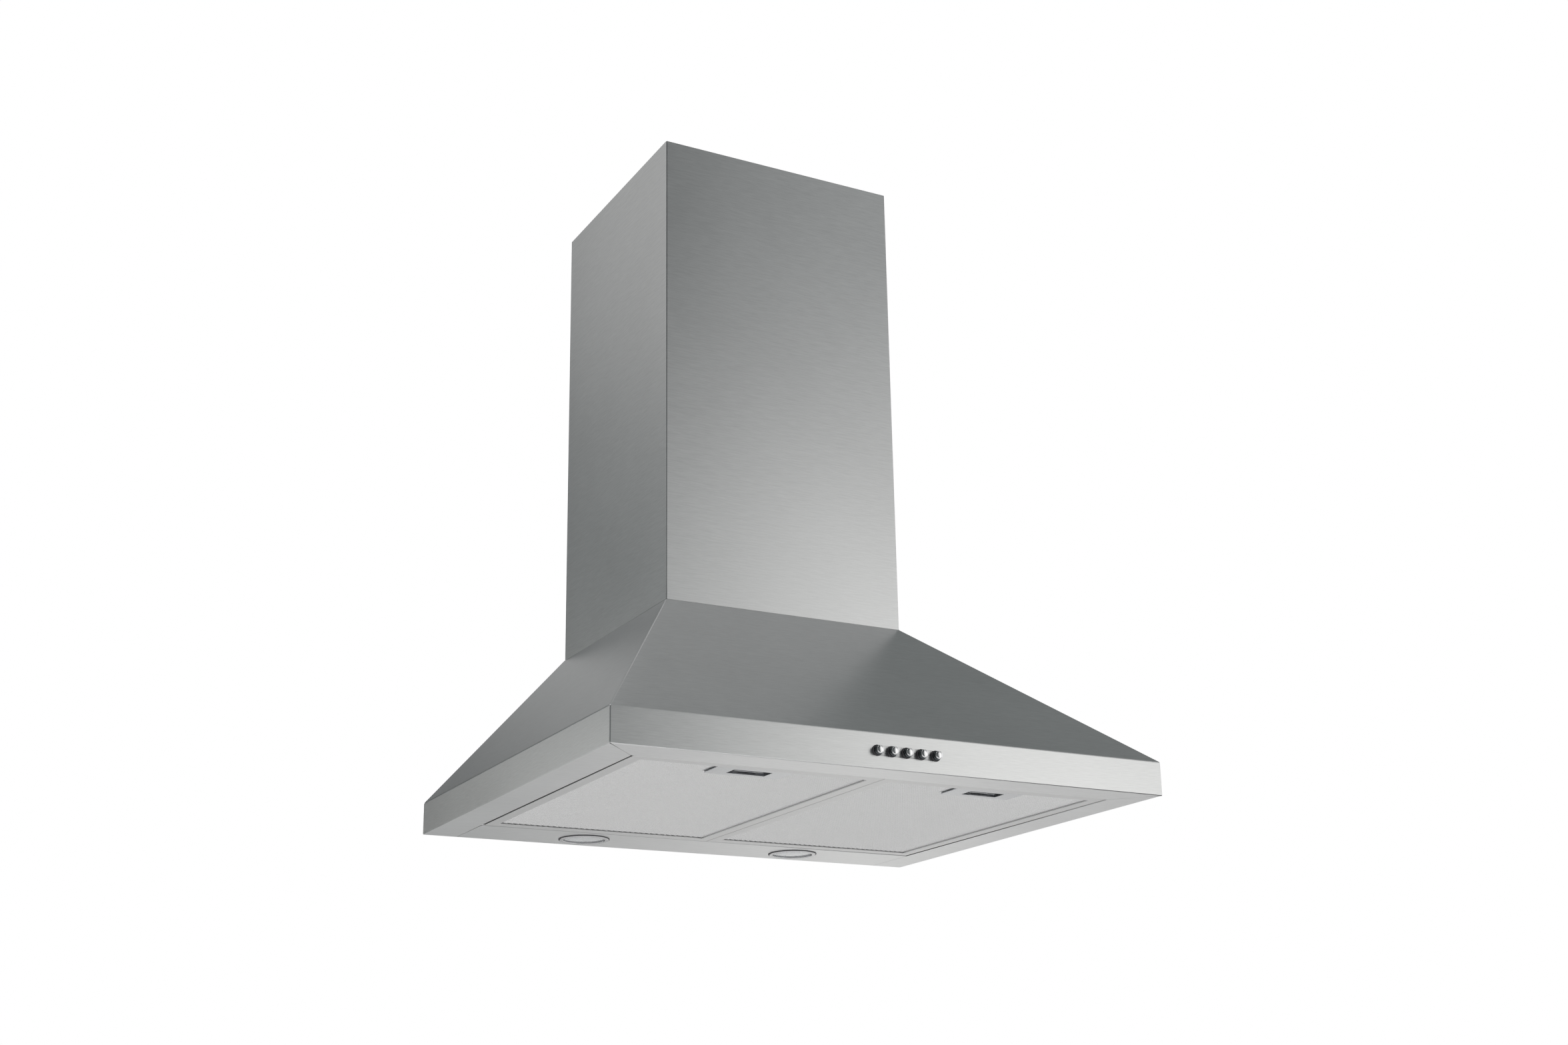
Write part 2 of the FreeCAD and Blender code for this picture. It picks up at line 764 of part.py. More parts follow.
def buttons():
    face = "-dims.hood_depth"
    ring = "dims.button_ring_proud"
    ring_bore = "(dims.button_radius + dims.running_fit)"
    stem_half = "(dims.button_stem_width / 2)"
    rings = []
    stem_holes = []
    skirt_inside = "(dims.canopy_sheet - dims.hood_depth)"
    for index in range(-2, 3):
        x = f"({index} * dims.button_pitch)"
        button = add_body(f"button_{index + 3}", x, face, "dims.button_height")
        section = add_sketch(button, "YZ_Plane")
        heel = "(-dims.button_heel)"
        outline(
            section,
            [
                ("-dims.button_proud", "0"),
                ("(dims.button_crown_rise - dims.button_proud)", "dims.button_crown_radius"),
                ("(dims.button_dome - dims.button_proud)", "dims.button_radius"),
                (heel, "dims.button_radius"),
                (heel, "0"),
            ],
        )
        revolve(button, section, "H_Axis")
        stem = add_sketch(button, "XZ_Plane", "dims.button_heel")
        rectangle(stem, f"-{stem_half}", f"-{stem_half}", stem_half, stem_half)
        pad(button, stem, "dims.button_heel + dims.button_stem", True)
        collar = rod("Y", x, f"({face} - {ring})", "0", "dims.button_ring_radius", ring)
        hole = rod("Y", x, f"({face} - 2 * {ring})", "0", ring_bore, f"3 * {ring}")
        rings.append(cut(collar, hole))
        reach = "(dims.button_stem + dims.button_travel + dims.switch_overtravel)"
        hole_half = f"({stem_half} + dims.running_fit)"
        stem_holes.append(
            box(f"({x} - {hole_half})", face, f"-{hole_half}", f"2 * {hole_half}", reach, f"2 * {hole_half}")
        )
    subpart(group(*rings), "button_rings", z="dims.button_height")
    half = "(2.5 * dims.button_pitch + dims.switch_block_margin)"
    low = "(-dims.switch_block_height / 2)"
    block = box(
        f"-{half}",
        skirt_inside,
        low,
        f"2 * {half}",
        "dims.switch_block_depth",
        "dims.switch_block_height",
    )
    # one trough takes the five heels as they are pushed in
    trough_half = "(2 * dims.button_pitch + dims.button_radius + dims.switch_well_gap)"
    trough_rise = "(dims.button_radius + dims.switch_well_gap)"
    trough = box(
        f"-{trough_half}",
        face,
        f"-{trough_rise}",
        f"2 * {trough_half}",
        "dims.button_travel",
        f"2 * {trough_rise}",
    )
    subpart(cut(block, trough, *stem_holes), "switch_block", z="dims.button_height")


# ---------------------------------------------------------------- grease filters

FILTER_WIDTH = f"({OPENING_HALF} - dims.filter_side_gap - dims.filter_centre_gap / 2)"
FILTER_DEPTH = f"(-{OPENING_FRONT} - dims.filter_front_gap - dims.lamp_strip_depth - dims.filter_rear_gap)"
FILTER_MIDDLE = f"(dims.filter_centre_gap / 2 + {FILTER_WIDTH} / 2)"
FILTER_REAR = "(-dims.lamp_strip_depth - dims.filter_rear_gap)"
RAIL_EDGE = f"(dims.filter_rail - {FILTER_DEPTH})"
WELL_FRONT = f"({RAIL_EDGE} + dims.latch_well_inset)"
NOTCH_HALF = "(dims.latch_well_width / 2 + dims.latch_wall + dims.latch_notch_gap)"
NOTCH_BACK = f"({WELL_FRONT} + dims.latch_well_depth + dims.latch_wall + dims.latch_notch_gap)"
TONGUE_LEVEL = "(dims.lip_height + dims.tongue_lift)"
CUP_TOP = "(dims.filter_height - dims.filter_sheet - dims.rest_gap)"
MESH_LEVEL = "dims.rail_hem"
BACK_MESH_LEVEL = "(dims.filter_height - dims.filter_sheet - dims.mesh_sheet)"


def tongue_slot(front, length):
    fit = "dims.running_fit"
    half = f"(dims.tongue_width / 2 + {fit})"
    level = f"({TONGUE_LEVEL} - {fit})"
    return box(f"-{half}", front, level, f"2 * {half}", length, f"dims.tongue_sheet + 2 * {fit}")


def latch_notch(level, height):
    """Room that the sheets and the mat leave for the latch."""
    front = f"(-{FILTER_DEPTH} - dims.filter_sheet)"
    return box(f"-{NOTCH_HALF}", front, level, f"2 * {NOTCH_HALF}", f"{NOTCH_BACK} - {front}", height)


def sheet_blank(level, height):
    """Rectangle that lies inside the frame's channel."""
    wall = "(dims.filter_sheet + dims.filter_fit)"
    x = f"({wall} - {FILTER_WIDTH} / 2)"
    y = f"({wall} - {FILTER_DEPTH})"
    return box(x, y, level, f"{FILTER_WIDTH} - 2 * {wall}", f"{FILTER_DEPTH} - 2 * {wall}", height)


def mesh_sheet(label, x, level, columns, rows):
    """Expanded sheet: staggered diamonds between solid strands, clear of the latch."""
    wall = number("dims.filter_sheet") + number("dims.filter_fit")
    half = number(FILTER_WIDTH) / 2 - wall
    front = wall - number(FILTER_DEPTH)
    notch = number(NOTCH_HALF)
    notch_back = number(NOTCH_BACK)
    corners = [
        (-half, front),
        (-notch, front),
        (-notch, notch_back),
        (notch, notch_back),
        (notch, front),
        (half, front),
        (half, -wall),
        (-half, -wall),
    ]
    wires = [closed_wire(corners)]
    columns = round(number(columns))
    rows = round(number(rows))
    field_half = half + wall - number("dims.filter_rail")
    field_front = number(RAIL_EDGE) + number("dims.latch_plate_depth")
    pitch_x = 2 * field_half / columns
    pitch_y = (-number("dims.filter_rail") - field_front) / rows
    reach_x = (pitch_x - number("dims.mesh_strand")) / 2
    reach_y = (pitch_y - number("dims.mesh_strand")) / 2
    for row in range(rows):
        shift = 0.5 + 0.5 * (row % 2)
        middle_y = field_front + (row + 0.5) * pitch_y
        for column in range(columns - row % 2):
            middle_x = (column + shift) * pitch_x - field_half
            diamond = [
                (middle_x - reach_x, middle_y),
                (middle_x, middle_y - reach_y),
                (middle_x + reach_x, middle_y),
                (middle_x, middle_y + reach_y),
            ]
            wires.append(closed_wire(diamond))
    face = Part.Face(wires, "Part::FaceMakerBullseye")
    sheet = doc.addObject("Part::Feature", label)
    sheet.Shape = face.extrude(FreeCAD.Vector(0, 0, number("dims.mesh_sheet")))
    return subpart(sheet, label, x, FILTER_REAR, level)


def grease_filter(name, side):
    """Cassette that hangs on the lamp strip at the back and latches at the front."""
    x = f"{side}{FILTER_MIDDLE}"
    half = f"({FILTER_WIDTH} / 2)"
    sheet = "dims.filter_sheet"
    outer = box(f"-{half}", f"-{FILTER_DEPTH}", "0", FILTER_WIDTH, FILTER_DEPTH, "dims.filter_height")
    cavity = box(
        f"({sheet} - {half})",
        f"({sheet} - {FILTER_DEPTH})",
        "dims.rail_hem",
        f"{FILTER_WIDTH} - 2 * {sheet}",
        f"{FILTER_DEPTH} - 2 * {sheet}",
        f"dims.filter_height - dims.rail_hem - {sheet}",
    )
    window = box(
        f"(dims.filter_rail - {half})",
        f"(dims.filter_rail - {FILTER_DEPTH})",
        f"-{sheet}",
        f"{FILTER_WIDTH} - 2 * dims.filter_rail",
        f"{FILTER_DEPTH} - 2 * dims.filter_rail",
        f"dims.filter_height + 2 * {sheet}",
    )
    shell = cut(outer, cavity, window, tongue_slot(f"(-{FILTER_DEPTH} - {sheet})", f"3 * {sheet}"))
    hooks = []
    for end in (1, -1):
        hook_x = f"({end} * dims.hook_spacing / 2 - dims.hook_width / 2)"
        level = "(dims.lip_height + dims.rest_gap)"
        reach = f"dims.hook_reach + {sheet}"
        hooks.append(box(hook_x, f"-{sheet}", level, "dims.hook_width", reach, "dims.hook_sheet"))
    subpart(fuse(shell, *hooks), f"filter_frame_{name}", x, FILTER_REAR)
    mesh_grid = ("dims.mesh_columns", "dims.mesh_rows")
    mesh_sheet(f"filter_mesh_{name}", x, MESH_LEVEL, *mesh_grid)
    mat_level = f"({MESH_LEVEL} + dims.mesh_sheet)"
    mat_height = f"{BACK_MESH_LEVEL} - {mat_level}"
    mat = cut(sheet_blank(mat_level, mat_height), latch_notch("0", "dims.filter_height"))
    subpart(mat, f"filter_mat_{name}", x, FILTER_REAR)
    back_grid = ("dims.back_mesh_columns", "dims.back_mesh_rows")
    mesh_sheet(f"filter_back_mesh_{name}", x, BACK_MESH_LEVEL, *back_grid)


def latch(name, side):
    """Finger latch: a pressed cup in the filter, a sliding tongue and a leaf spring."""
    x = f"{side}{FILTER_MIDDLE}"
    wall = "dims.latch_wall"
    half = "(dims.latch_well_width / 2)"
    under = f"({MESH_LEVEL} - dims.latch_plate_sheet)"
    plate = box(
        "-dims.latch_plate_width / 2",
        RAIL_EDGE,
        under,
        "dims.latch_plate_width",
        "dims.latch_plate_depth",
        "dims.latch_plate_sheet",
    )
    cup = box(
        f"-({half} + {wall})",
        f"({WELL_FRONT} - {wall})",
        MESH_LEVEL,
        f"2 * ({half} + {wall})",
        f"dims.latch_well_depth + 2 * {wall}",
        f"{CUP_TOP} - {MESH_LEVEL}",
    )
    well = box(
        f"-{half}",
        WELL_FRONT,
        f"-{wall}",
        f"2 * {half}",
        "dims.latch_well_depth",
        CUP_TOP,
    )
    slot = tongue_slot(f"({WELL_FRONT} - 2 * {wall})", f"3 * {wall}")
    subpart(cut(fuse(plate, cup), well, slot), f"latch_cup_{name}", x, FILTER_REAR)
    tip = f"(-{FILTER_DEPTH} - dims.filter_front_gap - dims.tongue_reach)"
    heel = f"({WELL_FRONT} + dims.pull_inset)"
    tongue = box(
        "-dims.tongue_width / 2",
        tip,
        TONGUE_LEVEL,
        "dims.tongue_width",
        f"{heel} - {tip}",
        "dims.tongue_sheet",
    )
    pull = box(
        "-dims.tongue_width / 2",
        f"({heel} - dims.tongue_sheet)",
        "dims.rail_hem",
        "dims.tongue_width",
        "dims.tongue_sheet",
        f"{TONGUE_LEVEL} - dims.rail_hem",
    )
    subpart(fuse(tongue, pull), f"latch_slider_{name}", x, FILTER_REAR)
    body = add_body(f"latch_spring_{name}", x, FILTER_REAR)
    strip = add_sketch(body, "XY_Plane", "dims.spring_level")
    back = f"({WELL_FRONT} + dims.latch_well_depth)"
    inner_half = "(dims.spring_half - dims.spring_sheet)"
    crown_inner = f"({heel} + dims.spring_sheet)"
    outline(
        strip,
        [
            ("-dims.spring_half", back),
            ("-dims.spring_crown", heel),
            ("dims.spring_crown", heel),
            ("dims.spring_half", back),
            (inner_half, back),
            ("dims.spring_crown", crown_inner),
            ("-dims.spring_crown", crown_inner),
            (f"-{inner_half}", back),
        ],
    )
    pad(body, strip, "dims.spring_width")


# ---------------------------------------------------------------- blower

def volute_outline(sketch, grow):
    """Four-centre spiral with a neck that leans to the middle of the case."""
    step = "dims.volute_step"
    first = f"(dims.volute_radius + {grow})"
    second = f"(dims.volute_radius + {step} + {grow})"
    third = f"(dims.volute_radius + 2 * {step} + {grow})"
    low = f"(-{step} / 2)"
    high = f"({step} / 2)"
    neck_middle = f"(dims.blower_back - {CASE_MIDDLE})"
    neck_half = f"(({third} - {low} + {high}) / 2)"
    lean_top = f"({NECK_TOP} - dims.volute_lip)"
    corners = [
        (low, f"({low} + {first})"),
        (f"({low} - {first})", low),
        (high, f"({low} - {second})"),
        (f"({high} + {third})", high),
        (f"({high} + {third})", "dims.neck_rise"),
        (f"({neck_middle} + {neck_half})", lean_top),
        (f"({neck_middle} + {neck_half})", NECK_TOP),
        (f"({neck_middle} - {neck_half})", NECK_TOP),
        (f"({neck_middle} - {neck_half})", lean_top),
    ]
    return outline(sketch, corners, {0: (first, 1), 1: (second, 1), 2: (third, 1)})


def scroll_half(name, against):
    """Half of the scroll housing, split at the impeller's middle."""
    body = add_body(f"scroll_half_{name}", "0", "-dims.blower_back", BLOWER_LEVEL)
    wall = "dims.volute_wall"
    solid = add_sketch(body, "YZ_Plane")
    volute_outline(solid, "0")
    pad(body, solid, "dims.volute_half_width", against)
    hollow = add_sketch(body, "YZ_Plane")
    volute_outline(hollow, f"(-{wall})")
    pocket(body, hollow, f"dims.volute_half_width - {wall}", not against)
    inlet = add_sketch(body, "YZ_Plane")
    circle(inlet, "0", "0", "dims.inlet_radius")
    drill(body, inlet)
    return body


def inlet_grille():
    """Guard over the free inlet: a rim and a hub ring joined by spokes."""
    body = add_body("inlet_grille", "0", "-dims.blower_back", BLOWER_LEVEL)
    rim = "(dims.inlet_radius + dims.grille_rim)"
    hub = "dims.grille_hub_radius"
    for outer, span in ((rim, "dims.grille_rim"), (hub, "dims.grille_bar")):
        ring = add_sketch(body, "YZ_Plane", "dims.volute_half_width")
        circle(ring, "0", "0", outer)
        circle(ring, "0", "0", f"({outer} - {span})")
        pad(body, ring, "dims.grille_sheet")
    spoke = add_sketch(body, "YZ_Plane", "dims.volute_half_width")
    half = "(dims.grille_bar / 2)"
    overlap = "(dims.grille_bar / 2)"
    rectangle(spoke, f"-{half}", f"({hub} - {overlap})", half, f"(dims.inlet_radius + {overlap})")
    first = pad(body, spoke, "dims.grille_sheet")
    polar(body, first, "X_Axis", "dims.grille_spokes")
    return body


def impeller():
    """Middle disc and hub of the double-inlet wheel."""
    body = add_body("impeller", "0", "-dims.blower_back", BLOWER_LEVEL)
    disc = add_sketch(body, "YZ_Plane", "(-dims.impeller_disc / 2)")
    circle(disc, "0", "0", "dims.impeller_radius")
    circle(disc, "0", "0", "dims.shaft_radius")
    pad(body, disc, "dims.impeller_disc")
    hub = add_sketch(body, "YZ_Plane")
    circle(hub, "0", "0", "dims.hub_radius")
    circle(hub, "0", "0", "dims.shaft_radius")
    pad(body, hub, "dims.hub_length")
    return body


def impeller_blades(name, side, against):
    """One half of the wheel: forward-bent blades between the middle disc and a hoop."""
    body = add_body(f"impeller_blades_{name}", "0", "-dims.blower_back", BLOWER_LEVEL)
    tip = "dims.impeller_radius"
    # a blade is a strip bent forwards once, from its root to its tip
    front = []
    back = []
    for radius, lean in (
        ("dims.blade_root_radius", "0"),
        ("dims.blade_bend_radius", "dims.blade_bend_lean"),
        (tip, "dims.blade_lean"),
    ):
        near = f"({lean} * 1 deg)"
        far = f"({near} + dims.blade_sheet / {radius} * 1 rad)"
        front.append((f"{radius} * cos({near})", f"{radius} * sin({near})"))
        back.append((f"{radius} * cos({far})", f"{radius} * sin({far})"))
    blade = add_sketch(body, "YZ_Plane", f"({side}dims.impeller_disc / 2)")
    outline(blade, front + back[::-1])
    first = pad(body, blade, "dims.impeller_half_width - dims.impeller_disc / 2", against)
    polar(body, first, "X_Axis", "dims.blade_count")
    hoop = add_sketch(body, "YZ_Plane", f"({side}(dims.impeller_half_width - dims.hoop_width))")
    circle(hoop, "0", "0", f"({tip} + dims.hoop_sheet)")
    circle(hoop, "0", "0", f"({tip} - dims.hoop_overlap)")
    pad(body, hoop, "dims.hoop_width", against)
    return body


def motor_parts():
    """Motor inside the wheel's left half, on a spider with three rubber dampers."""
    y = "-dims.blower_back"
    z = BLOWER_LEVEL
    spider_face = "(-dims.volute_half_width - dims.damper_height)"
    spider_back = f"({spider_face} - dims.spider_sheet)"
    motor_front = f"({spider_face} + dims.motor_length)"
    shaft_start = f"({motor_front} - dims.shaft_in_motor)"
    can = rod("X", spider_face, "0", "0", "dims.motor_radius", "dims.motor_length")
    nose = rod("X", motor_front, "0", "0", "dims.motor_nose_radius", "dims.motor_nose")
    bearing = "(dims.shaft_radius + dims.running_fit)"
    bore = rod("X", shaft_start, "0", "0", bearing, "2 * dims.shaft_in_motor")
    subpart(cut(fuse(can, nose), bore), "motor", "0", y, z)
    shaft_length = f"dims.hub_length + dims.shaft_end - {shaft_start}"
    subpart(rod("X", "0", "0", "0", "dims.shaft_radius", shaft_length), "motor_shaft", shaft_start, y, z)
    spider = add_body("motor_bracket", "0", y, z)
    arm = add_sketch(spider, "YZ_Plane", spider_back)
    half = "(dims.spider_arm / 2)"
    rectangle(arm, f"-{half}", "0", half, "(dims.damper_circle + dims.damper_radius)")
    first = pad(spider, arm, "dims.spider_sheet")
    polar(spider, first, "X_Axis", "dims.damper_count")
    disc = add_sketch(spider, "YZ_Plane", spider_back)
    circle(disc, "0", "0", "dims.spider_disc_radius")
    pad(spider, disc, "dims.spider_sheet")
    dampers = []
    heads = []
    for index in range(round(number("dims.damper_count"))):
        turn = f"(90 deg + {index} * 360 deg / dims.damper_count)"
        damper_y = f"dims.damper_circle * cos({turn})"
        damper_z = f"dims.damper_circle * sin({turn})"
        dampers.append(rod("X", spider_face, damper_y, damper_z, "dims.damper_radius", "dims.damper_height"))
        heads.append(screw_head("X", f"({spider_back} - dims.screw_head_height)", damper_y, damper_z))
    subpart(group(*dampers), "motor_dampers", "0", y, z)
    subpart(group(*heads), "motor_screws", "0", y, z)


def blower_case():
    """Steel box over the canopy that carries the scroll and the outlet."""
    sheet = "dims.case_sheet"
    half = f"({CASE_WIDTH} / 2)"
    depth_half = f"({CASE_DEPTH} / 2)"
    flange = "dims.case_flange"
    outer = box(f"-{half}", f"-{depth_half}", "0", CASE_WIDTH, CASE_DEPTH, "dims.case_height")
    hollow = box(
        f"({sheet} - {half})",
        f"({sheet} - {depth_half})",
        sheet,
        f"{CASE_WIDTH} - 2 * {sheet}",
        f"{CASE_DEPTH} - 2 * {sheet}",
        f"dims.case_height - 2 * {sheet}",
    )
    mouth = box(
        f"({flange} - {half})",
        f"({flange} - {depth_half})",
        f"-{sheet}",
        f"{CASE_WIDTH} - 2 * {flange}",
        f"{CASE_DEPTH} - 2 * {flange}",
        f"3 * {sheet}",
    )
    throat = "(dims.outlet_radius - dims.outlet_wall)"
    hole = rod("Z", "0", "0", f"dims.case_height - 2 * {sheet}", throat, f"3 * {sheet}")
    subpart(cut(outer, hollow, mouth, hole), "blower_case", "0", f"-{CASE_MIDDLE}", CHIMNEY_BASE)
    heads = []
    for x_side in (1, -1):
        for y_side in (1, -1):
            x = f"({x_side} * ({half} - {flange} / 2))"
            y = f"({y_side} * ({depth_half} - {flange} / 2))"
            heads.append(screw_head("Z", x, y, sheet))
    subpart(group(*heads), "case_screws", "0", f"-{CASE_MIDDLE}", CHIMNEY_BASE)
    can_radius = "dims.capacitor_radius"
    capacitor_x = f"({half} - {sheet} - {can_radius})"
    capacitor_y = f"({can_radius} + {sheet} + dims.capacitor_gap - {depth_half})"
    can = rod("Z", capacitor_x, capacitor_y, "dims.capacitor_level", can_radius, "dims.capacitor_height")
    foot = box(
        f"({half} - {sheet} - dims.capacitor_foot_width)",
        f"({capacitor_y} - dims.capacitor_foot_width / 2)",
        "(dims.capacitor_level - dims.capacitor_foot_height)",
        "dims.capacitor_foot_width",
        "dims.capacitor_foot_width",
        "dims.capacitor_foot_height",
    )
    subpart(fuse(can, foot), "capacitor", "0", f"-{CASE_MIDDLE}", CHIMNEY_BASE)


# ---------------------------------------------------------------- outlet

def across(reach, y_low, depth, z_low, height):
    """Block that runs through the collar from side to side."""
    return box(f"-{reach}", y_low, z_low, f"2 * {reach}", depth, height)


def outlet():
    """Round duct collar with two gravity flaps on pins beside a middle bar."""
    y = f"-{CASE_MIDDLE}"
    z = f"({CHIMNEY_BASE} + dims.case_height)"
    inner = "(dims.outlet_radius - dims.outlet_wall)"
    wall_middle = "(dims.outlet_radius - dims.outlet_wall / 2)"
    axis = "dims.flap_axis_height"
    pipe = rod("Z", "0", "0", "0", "dims.outlet_radius", "dims.outlet_height")
    flange = rod("Z", "0", "0", "0", "(dims.outlet_radius + dims.outlet_flange)", "dims.outlet_flange_sheet")
    bore = rod("Z", "0", "0", "-dims.outlet_flange_sheet", inner, "2 * dims.outlet_height")
    # a middle bar, and a stop under each flap's far edge
    bar_half = "(dims.flap_axis_offset - dims.flap_knuckle_radius - dims.flap_bar_gap)"
    bar_low = f"({axis} - dims.flap_bar_drop)"
    bar = across("dims.outlet_radius", f"-{bar_half}", f"2 * {bar_half}", bar_low, "dims.flap_bar_height")
    stop_half = "dims.flap_stop_width / 2"
    stop_depth = "(dims.flap_stop_reach + dims.outlet_wall)"
    stop_low = f"({axis} - dims.flap_sheet / 2 - dims.rest_gap - dims.flap_stop_height)"
    blocks = [bar]
    for start in (f"({inner} - dims.flap_stop_reach)", "-dims.outlet_radius"):
        blocks.append(across(stop_half, start, stop_depth, stop_low, "dims.flap_stop_height"))
    inside = rod("Z", "0", "0", "0", wall_middle, "dims.outlet_height")
    pin_half = "(dims.outlet_radius - dims.pin_inset)"
    pins = []
    pin_holes = []
    for side in (1, -1):
        offset = f"({side} * dims.flap_axis_offset)"
        pins.append(rod("X", f"-{pin_half}", offset, axis, "dims.flap_pin_radius", f"2 * {pin_half}"))
        pin_holes.append(rod("X", f"-{pin_half}", offset, axis, "dims.flap_pin_radius", f"2 * {pin_half}"))
    collar = cut(fuse(cut(fuse(pipe, flange), bore), common(fuse(*blocks), inside)), *pin_holes)
    subpart(collar, "duct_collar", "0", y, z)
    subpart(group(*pins), "flap_pins", "0", y, z)
    heads = []
    for index in range(4):
        turn = f"({45 + 90 * index} * 1 deg)"
        screw_circle = "(dims.outlet_radius + dims.outlet_flange / 2)"
        screw_x = f"{screw_circle} * cos({turn})"
        screw_y = f"{screw_circle} * sin({turn})"
        heads.append(screw_head("Z", screw_x, screw_y, "dims.outlet_flange_sheet"))
    subpart(group(*heads), "collar_screws", "0", y, z)
    for name, side in (("rear", 1), ("front", -1)):
        offset = f"({side} * dims.flap_axis_offset)"
        knuckle_half = "dims.flap_knuckle_half"
        knuckle_radius = "dims.flap_knuckle_radius"
        knuckle = rod("X", f"-{knuckle_half}", offset, axis, knuckle_radius, f"2 * {knuckle_half}")
        leaf_radius = f"({inner} - dims.flap_gap)"
        leaf_level = f"({axis} - dims.flap_sheet / 2)"
        leaf = rod("Z", "0", "0", leaf_level, leaf_radius, "dims.flap_sheet")
        near = "(dims.flap_axis_offset + dims.flap_pin_radius)"
        start = near if side > 0 else f"(-{near} - dims.outlet_radius)"
        leaf_side = across("dims.outlet_radius", start, "dims.outlet_radius", "0", "dims.outlet_height")
        hole_radius = "(dims.flap_pin_radius + dims.running_fit)"
        hole = rod("X", "-dims.outlet_radius", offset, axis, hole_radius, "2 * dims.outlet_radius")
        flap = cut(fuse(knuckle, common(leaf, leaf_side)), hole)
        subpart(flap, f"outlet_flap_{name}", "0", y, z)


# ---------------------------------------------------------------- electrics

def junction():
    """Box for the controls on the back plate, with a lid, screws and a cable gland."""
    y = "(-dims.canopy_sheet)"
    x = "(dims.junction_inset - dims.hood_width / 2)"
    wall = "dims.junction_wall"
    half = "(dims.junction_width / 2)"
    depth = "dims.junction_depth"
    height = "dims.junction_height"
    outer = box(f"-{half}", f"-{depth}", "0", "dims.junction_width", depth, height)
    hollow = box(
        f"({wall} - {half})",
        f"-{depth} - {wall}",
        wall,
        f"dims.junction_width - 2 * {wall}",
        depth,
        f"{height} - 2 * {wall}",
    )
    inlet = rod("Z", "0", f"(-{depth} / 2)", f"({height} - 2 * {wall})", "dims.gland_bore", f"3 * {wall}")
    subpart(cut(outer, hollow, inlet), "junction_box", x, y, "dims.junction_rise")
    lid = box("0", "0", "0", "dims.junction_width", wall, height)
    subpart(lid, "junction_lid", f"({x} - {half})", f"({y} - {depth} - {wall})", "dims.junction_rise")
    heads = []
    inset = "dims.junction_screw_inset"
    for x_side in (1, -1):
        for level in (inset, f"({height} - {inset})"):
            start = f"(-{depth} - {wall} - dims.screw_head_height)"
            heads.append(screw_head("Y", f"({x_side} * ({half} - {inset}))", start, level))
    subpart(group(*heads), "junction_screws", x, y, "dims.junction_rise")
    body = hex_bar("Z", "0", "0", "0", "dims.gland_radius", "dims.gland_height")
    nut = hex_bar("Z", "0", "0", "dims.gland_height", "dims.gland_nut_radius", "dims.gland_nut_height")
    bore_length = "2 * (dims.gland_height + dims.gland_nut_height)"
    bore = rod("Z", "0", "0", f"-{wall}", "dims.gland_bore", bore_length)
    level = f"(dims.junction_rise + {height})"
    subpart(cut(fuse(body, nut), bore), "cable_gland", x, f"({y} - {depth} / 2)", level)


def build():
    canopy_shell()
    back_plate()
    lamp_strip()
    chimney()
    for name, side in (("left", "-"), ("right", "")):
        lamp(name, side)
        grease_filter(name, side)
        latch(name, side)
    buttons()
    blower_case()
    scroll_half("right", False)
    scroll_half("left", True)
    inlet_grille()
    impeller()
    impeller_blades("right", "", False)
    impeller_blades("left", "-", True)
    motor_parts()
    outlet()
    junction()


def check_and_write():
    doc.recompute()
    broken = [item.Label for item in doc.Objects if {"Invalid", "Error"} & set(item.State)]
    if broken:
        raise RuntimeError(f"failed objects: {broken}")
    os.makedirs("parts", exist_ok=True)
    for item in SUBPARTS:
        shape = item.Shape
        if shape.isNull() or not shape.isValid():
            raise RuntimeError(f"{item.Label} has no valid shape")
    for item in SUBPARTS:
        item.Shape.exportStep(f"parts/{item.Label}.step")
        print(item.Label, len(item.Shape.Solids), round(item.Shape.Volume, 1))


build()
check_and_write()
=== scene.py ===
"""Looks of the chimney range hood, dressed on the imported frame.

Metres.  +X is the hood's right as a cook sees it, +Y points into the wall, +Z is up.
"""
import bmesh
import bpy
import json
import math
from mathutils import Matrix, Vector

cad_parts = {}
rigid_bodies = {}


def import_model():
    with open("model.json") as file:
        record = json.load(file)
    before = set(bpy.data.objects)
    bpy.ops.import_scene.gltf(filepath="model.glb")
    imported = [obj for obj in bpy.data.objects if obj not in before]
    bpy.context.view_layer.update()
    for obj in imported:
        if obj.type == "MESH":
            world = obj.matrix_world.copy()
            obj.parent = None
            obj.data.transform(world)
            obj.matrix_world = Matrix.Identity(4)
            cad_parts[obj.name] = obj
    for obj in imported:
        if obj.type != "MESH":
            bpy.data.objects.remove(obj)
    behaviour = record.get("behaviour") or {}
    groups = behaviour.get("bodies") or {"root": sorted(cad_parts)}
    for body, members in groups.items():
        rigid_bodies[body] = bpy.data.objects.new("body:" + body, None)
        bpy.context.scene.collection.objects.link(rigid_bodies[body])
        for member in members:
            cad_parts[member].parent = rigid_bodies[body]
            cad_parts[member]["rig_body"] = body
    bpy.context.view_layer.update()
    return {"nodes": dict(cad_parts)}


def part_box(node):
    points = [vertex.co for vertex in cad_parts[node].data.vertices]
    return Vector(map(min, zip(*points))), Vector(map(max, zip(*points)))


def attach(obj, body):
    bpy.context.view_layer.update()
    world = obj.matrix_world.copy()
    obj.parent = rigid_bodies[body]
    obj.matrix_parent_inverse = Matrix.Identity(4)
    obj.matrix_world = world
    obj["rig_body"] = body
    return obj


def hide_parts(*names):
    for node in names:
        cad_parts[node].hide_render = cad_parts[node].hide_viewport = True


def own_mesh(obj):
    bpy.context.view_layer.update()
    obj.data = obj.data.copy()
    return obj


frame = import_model()

MM = 0.001
frame_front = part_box("canopy_shell")[0].y


# ---------------------------------------------------------------- camera

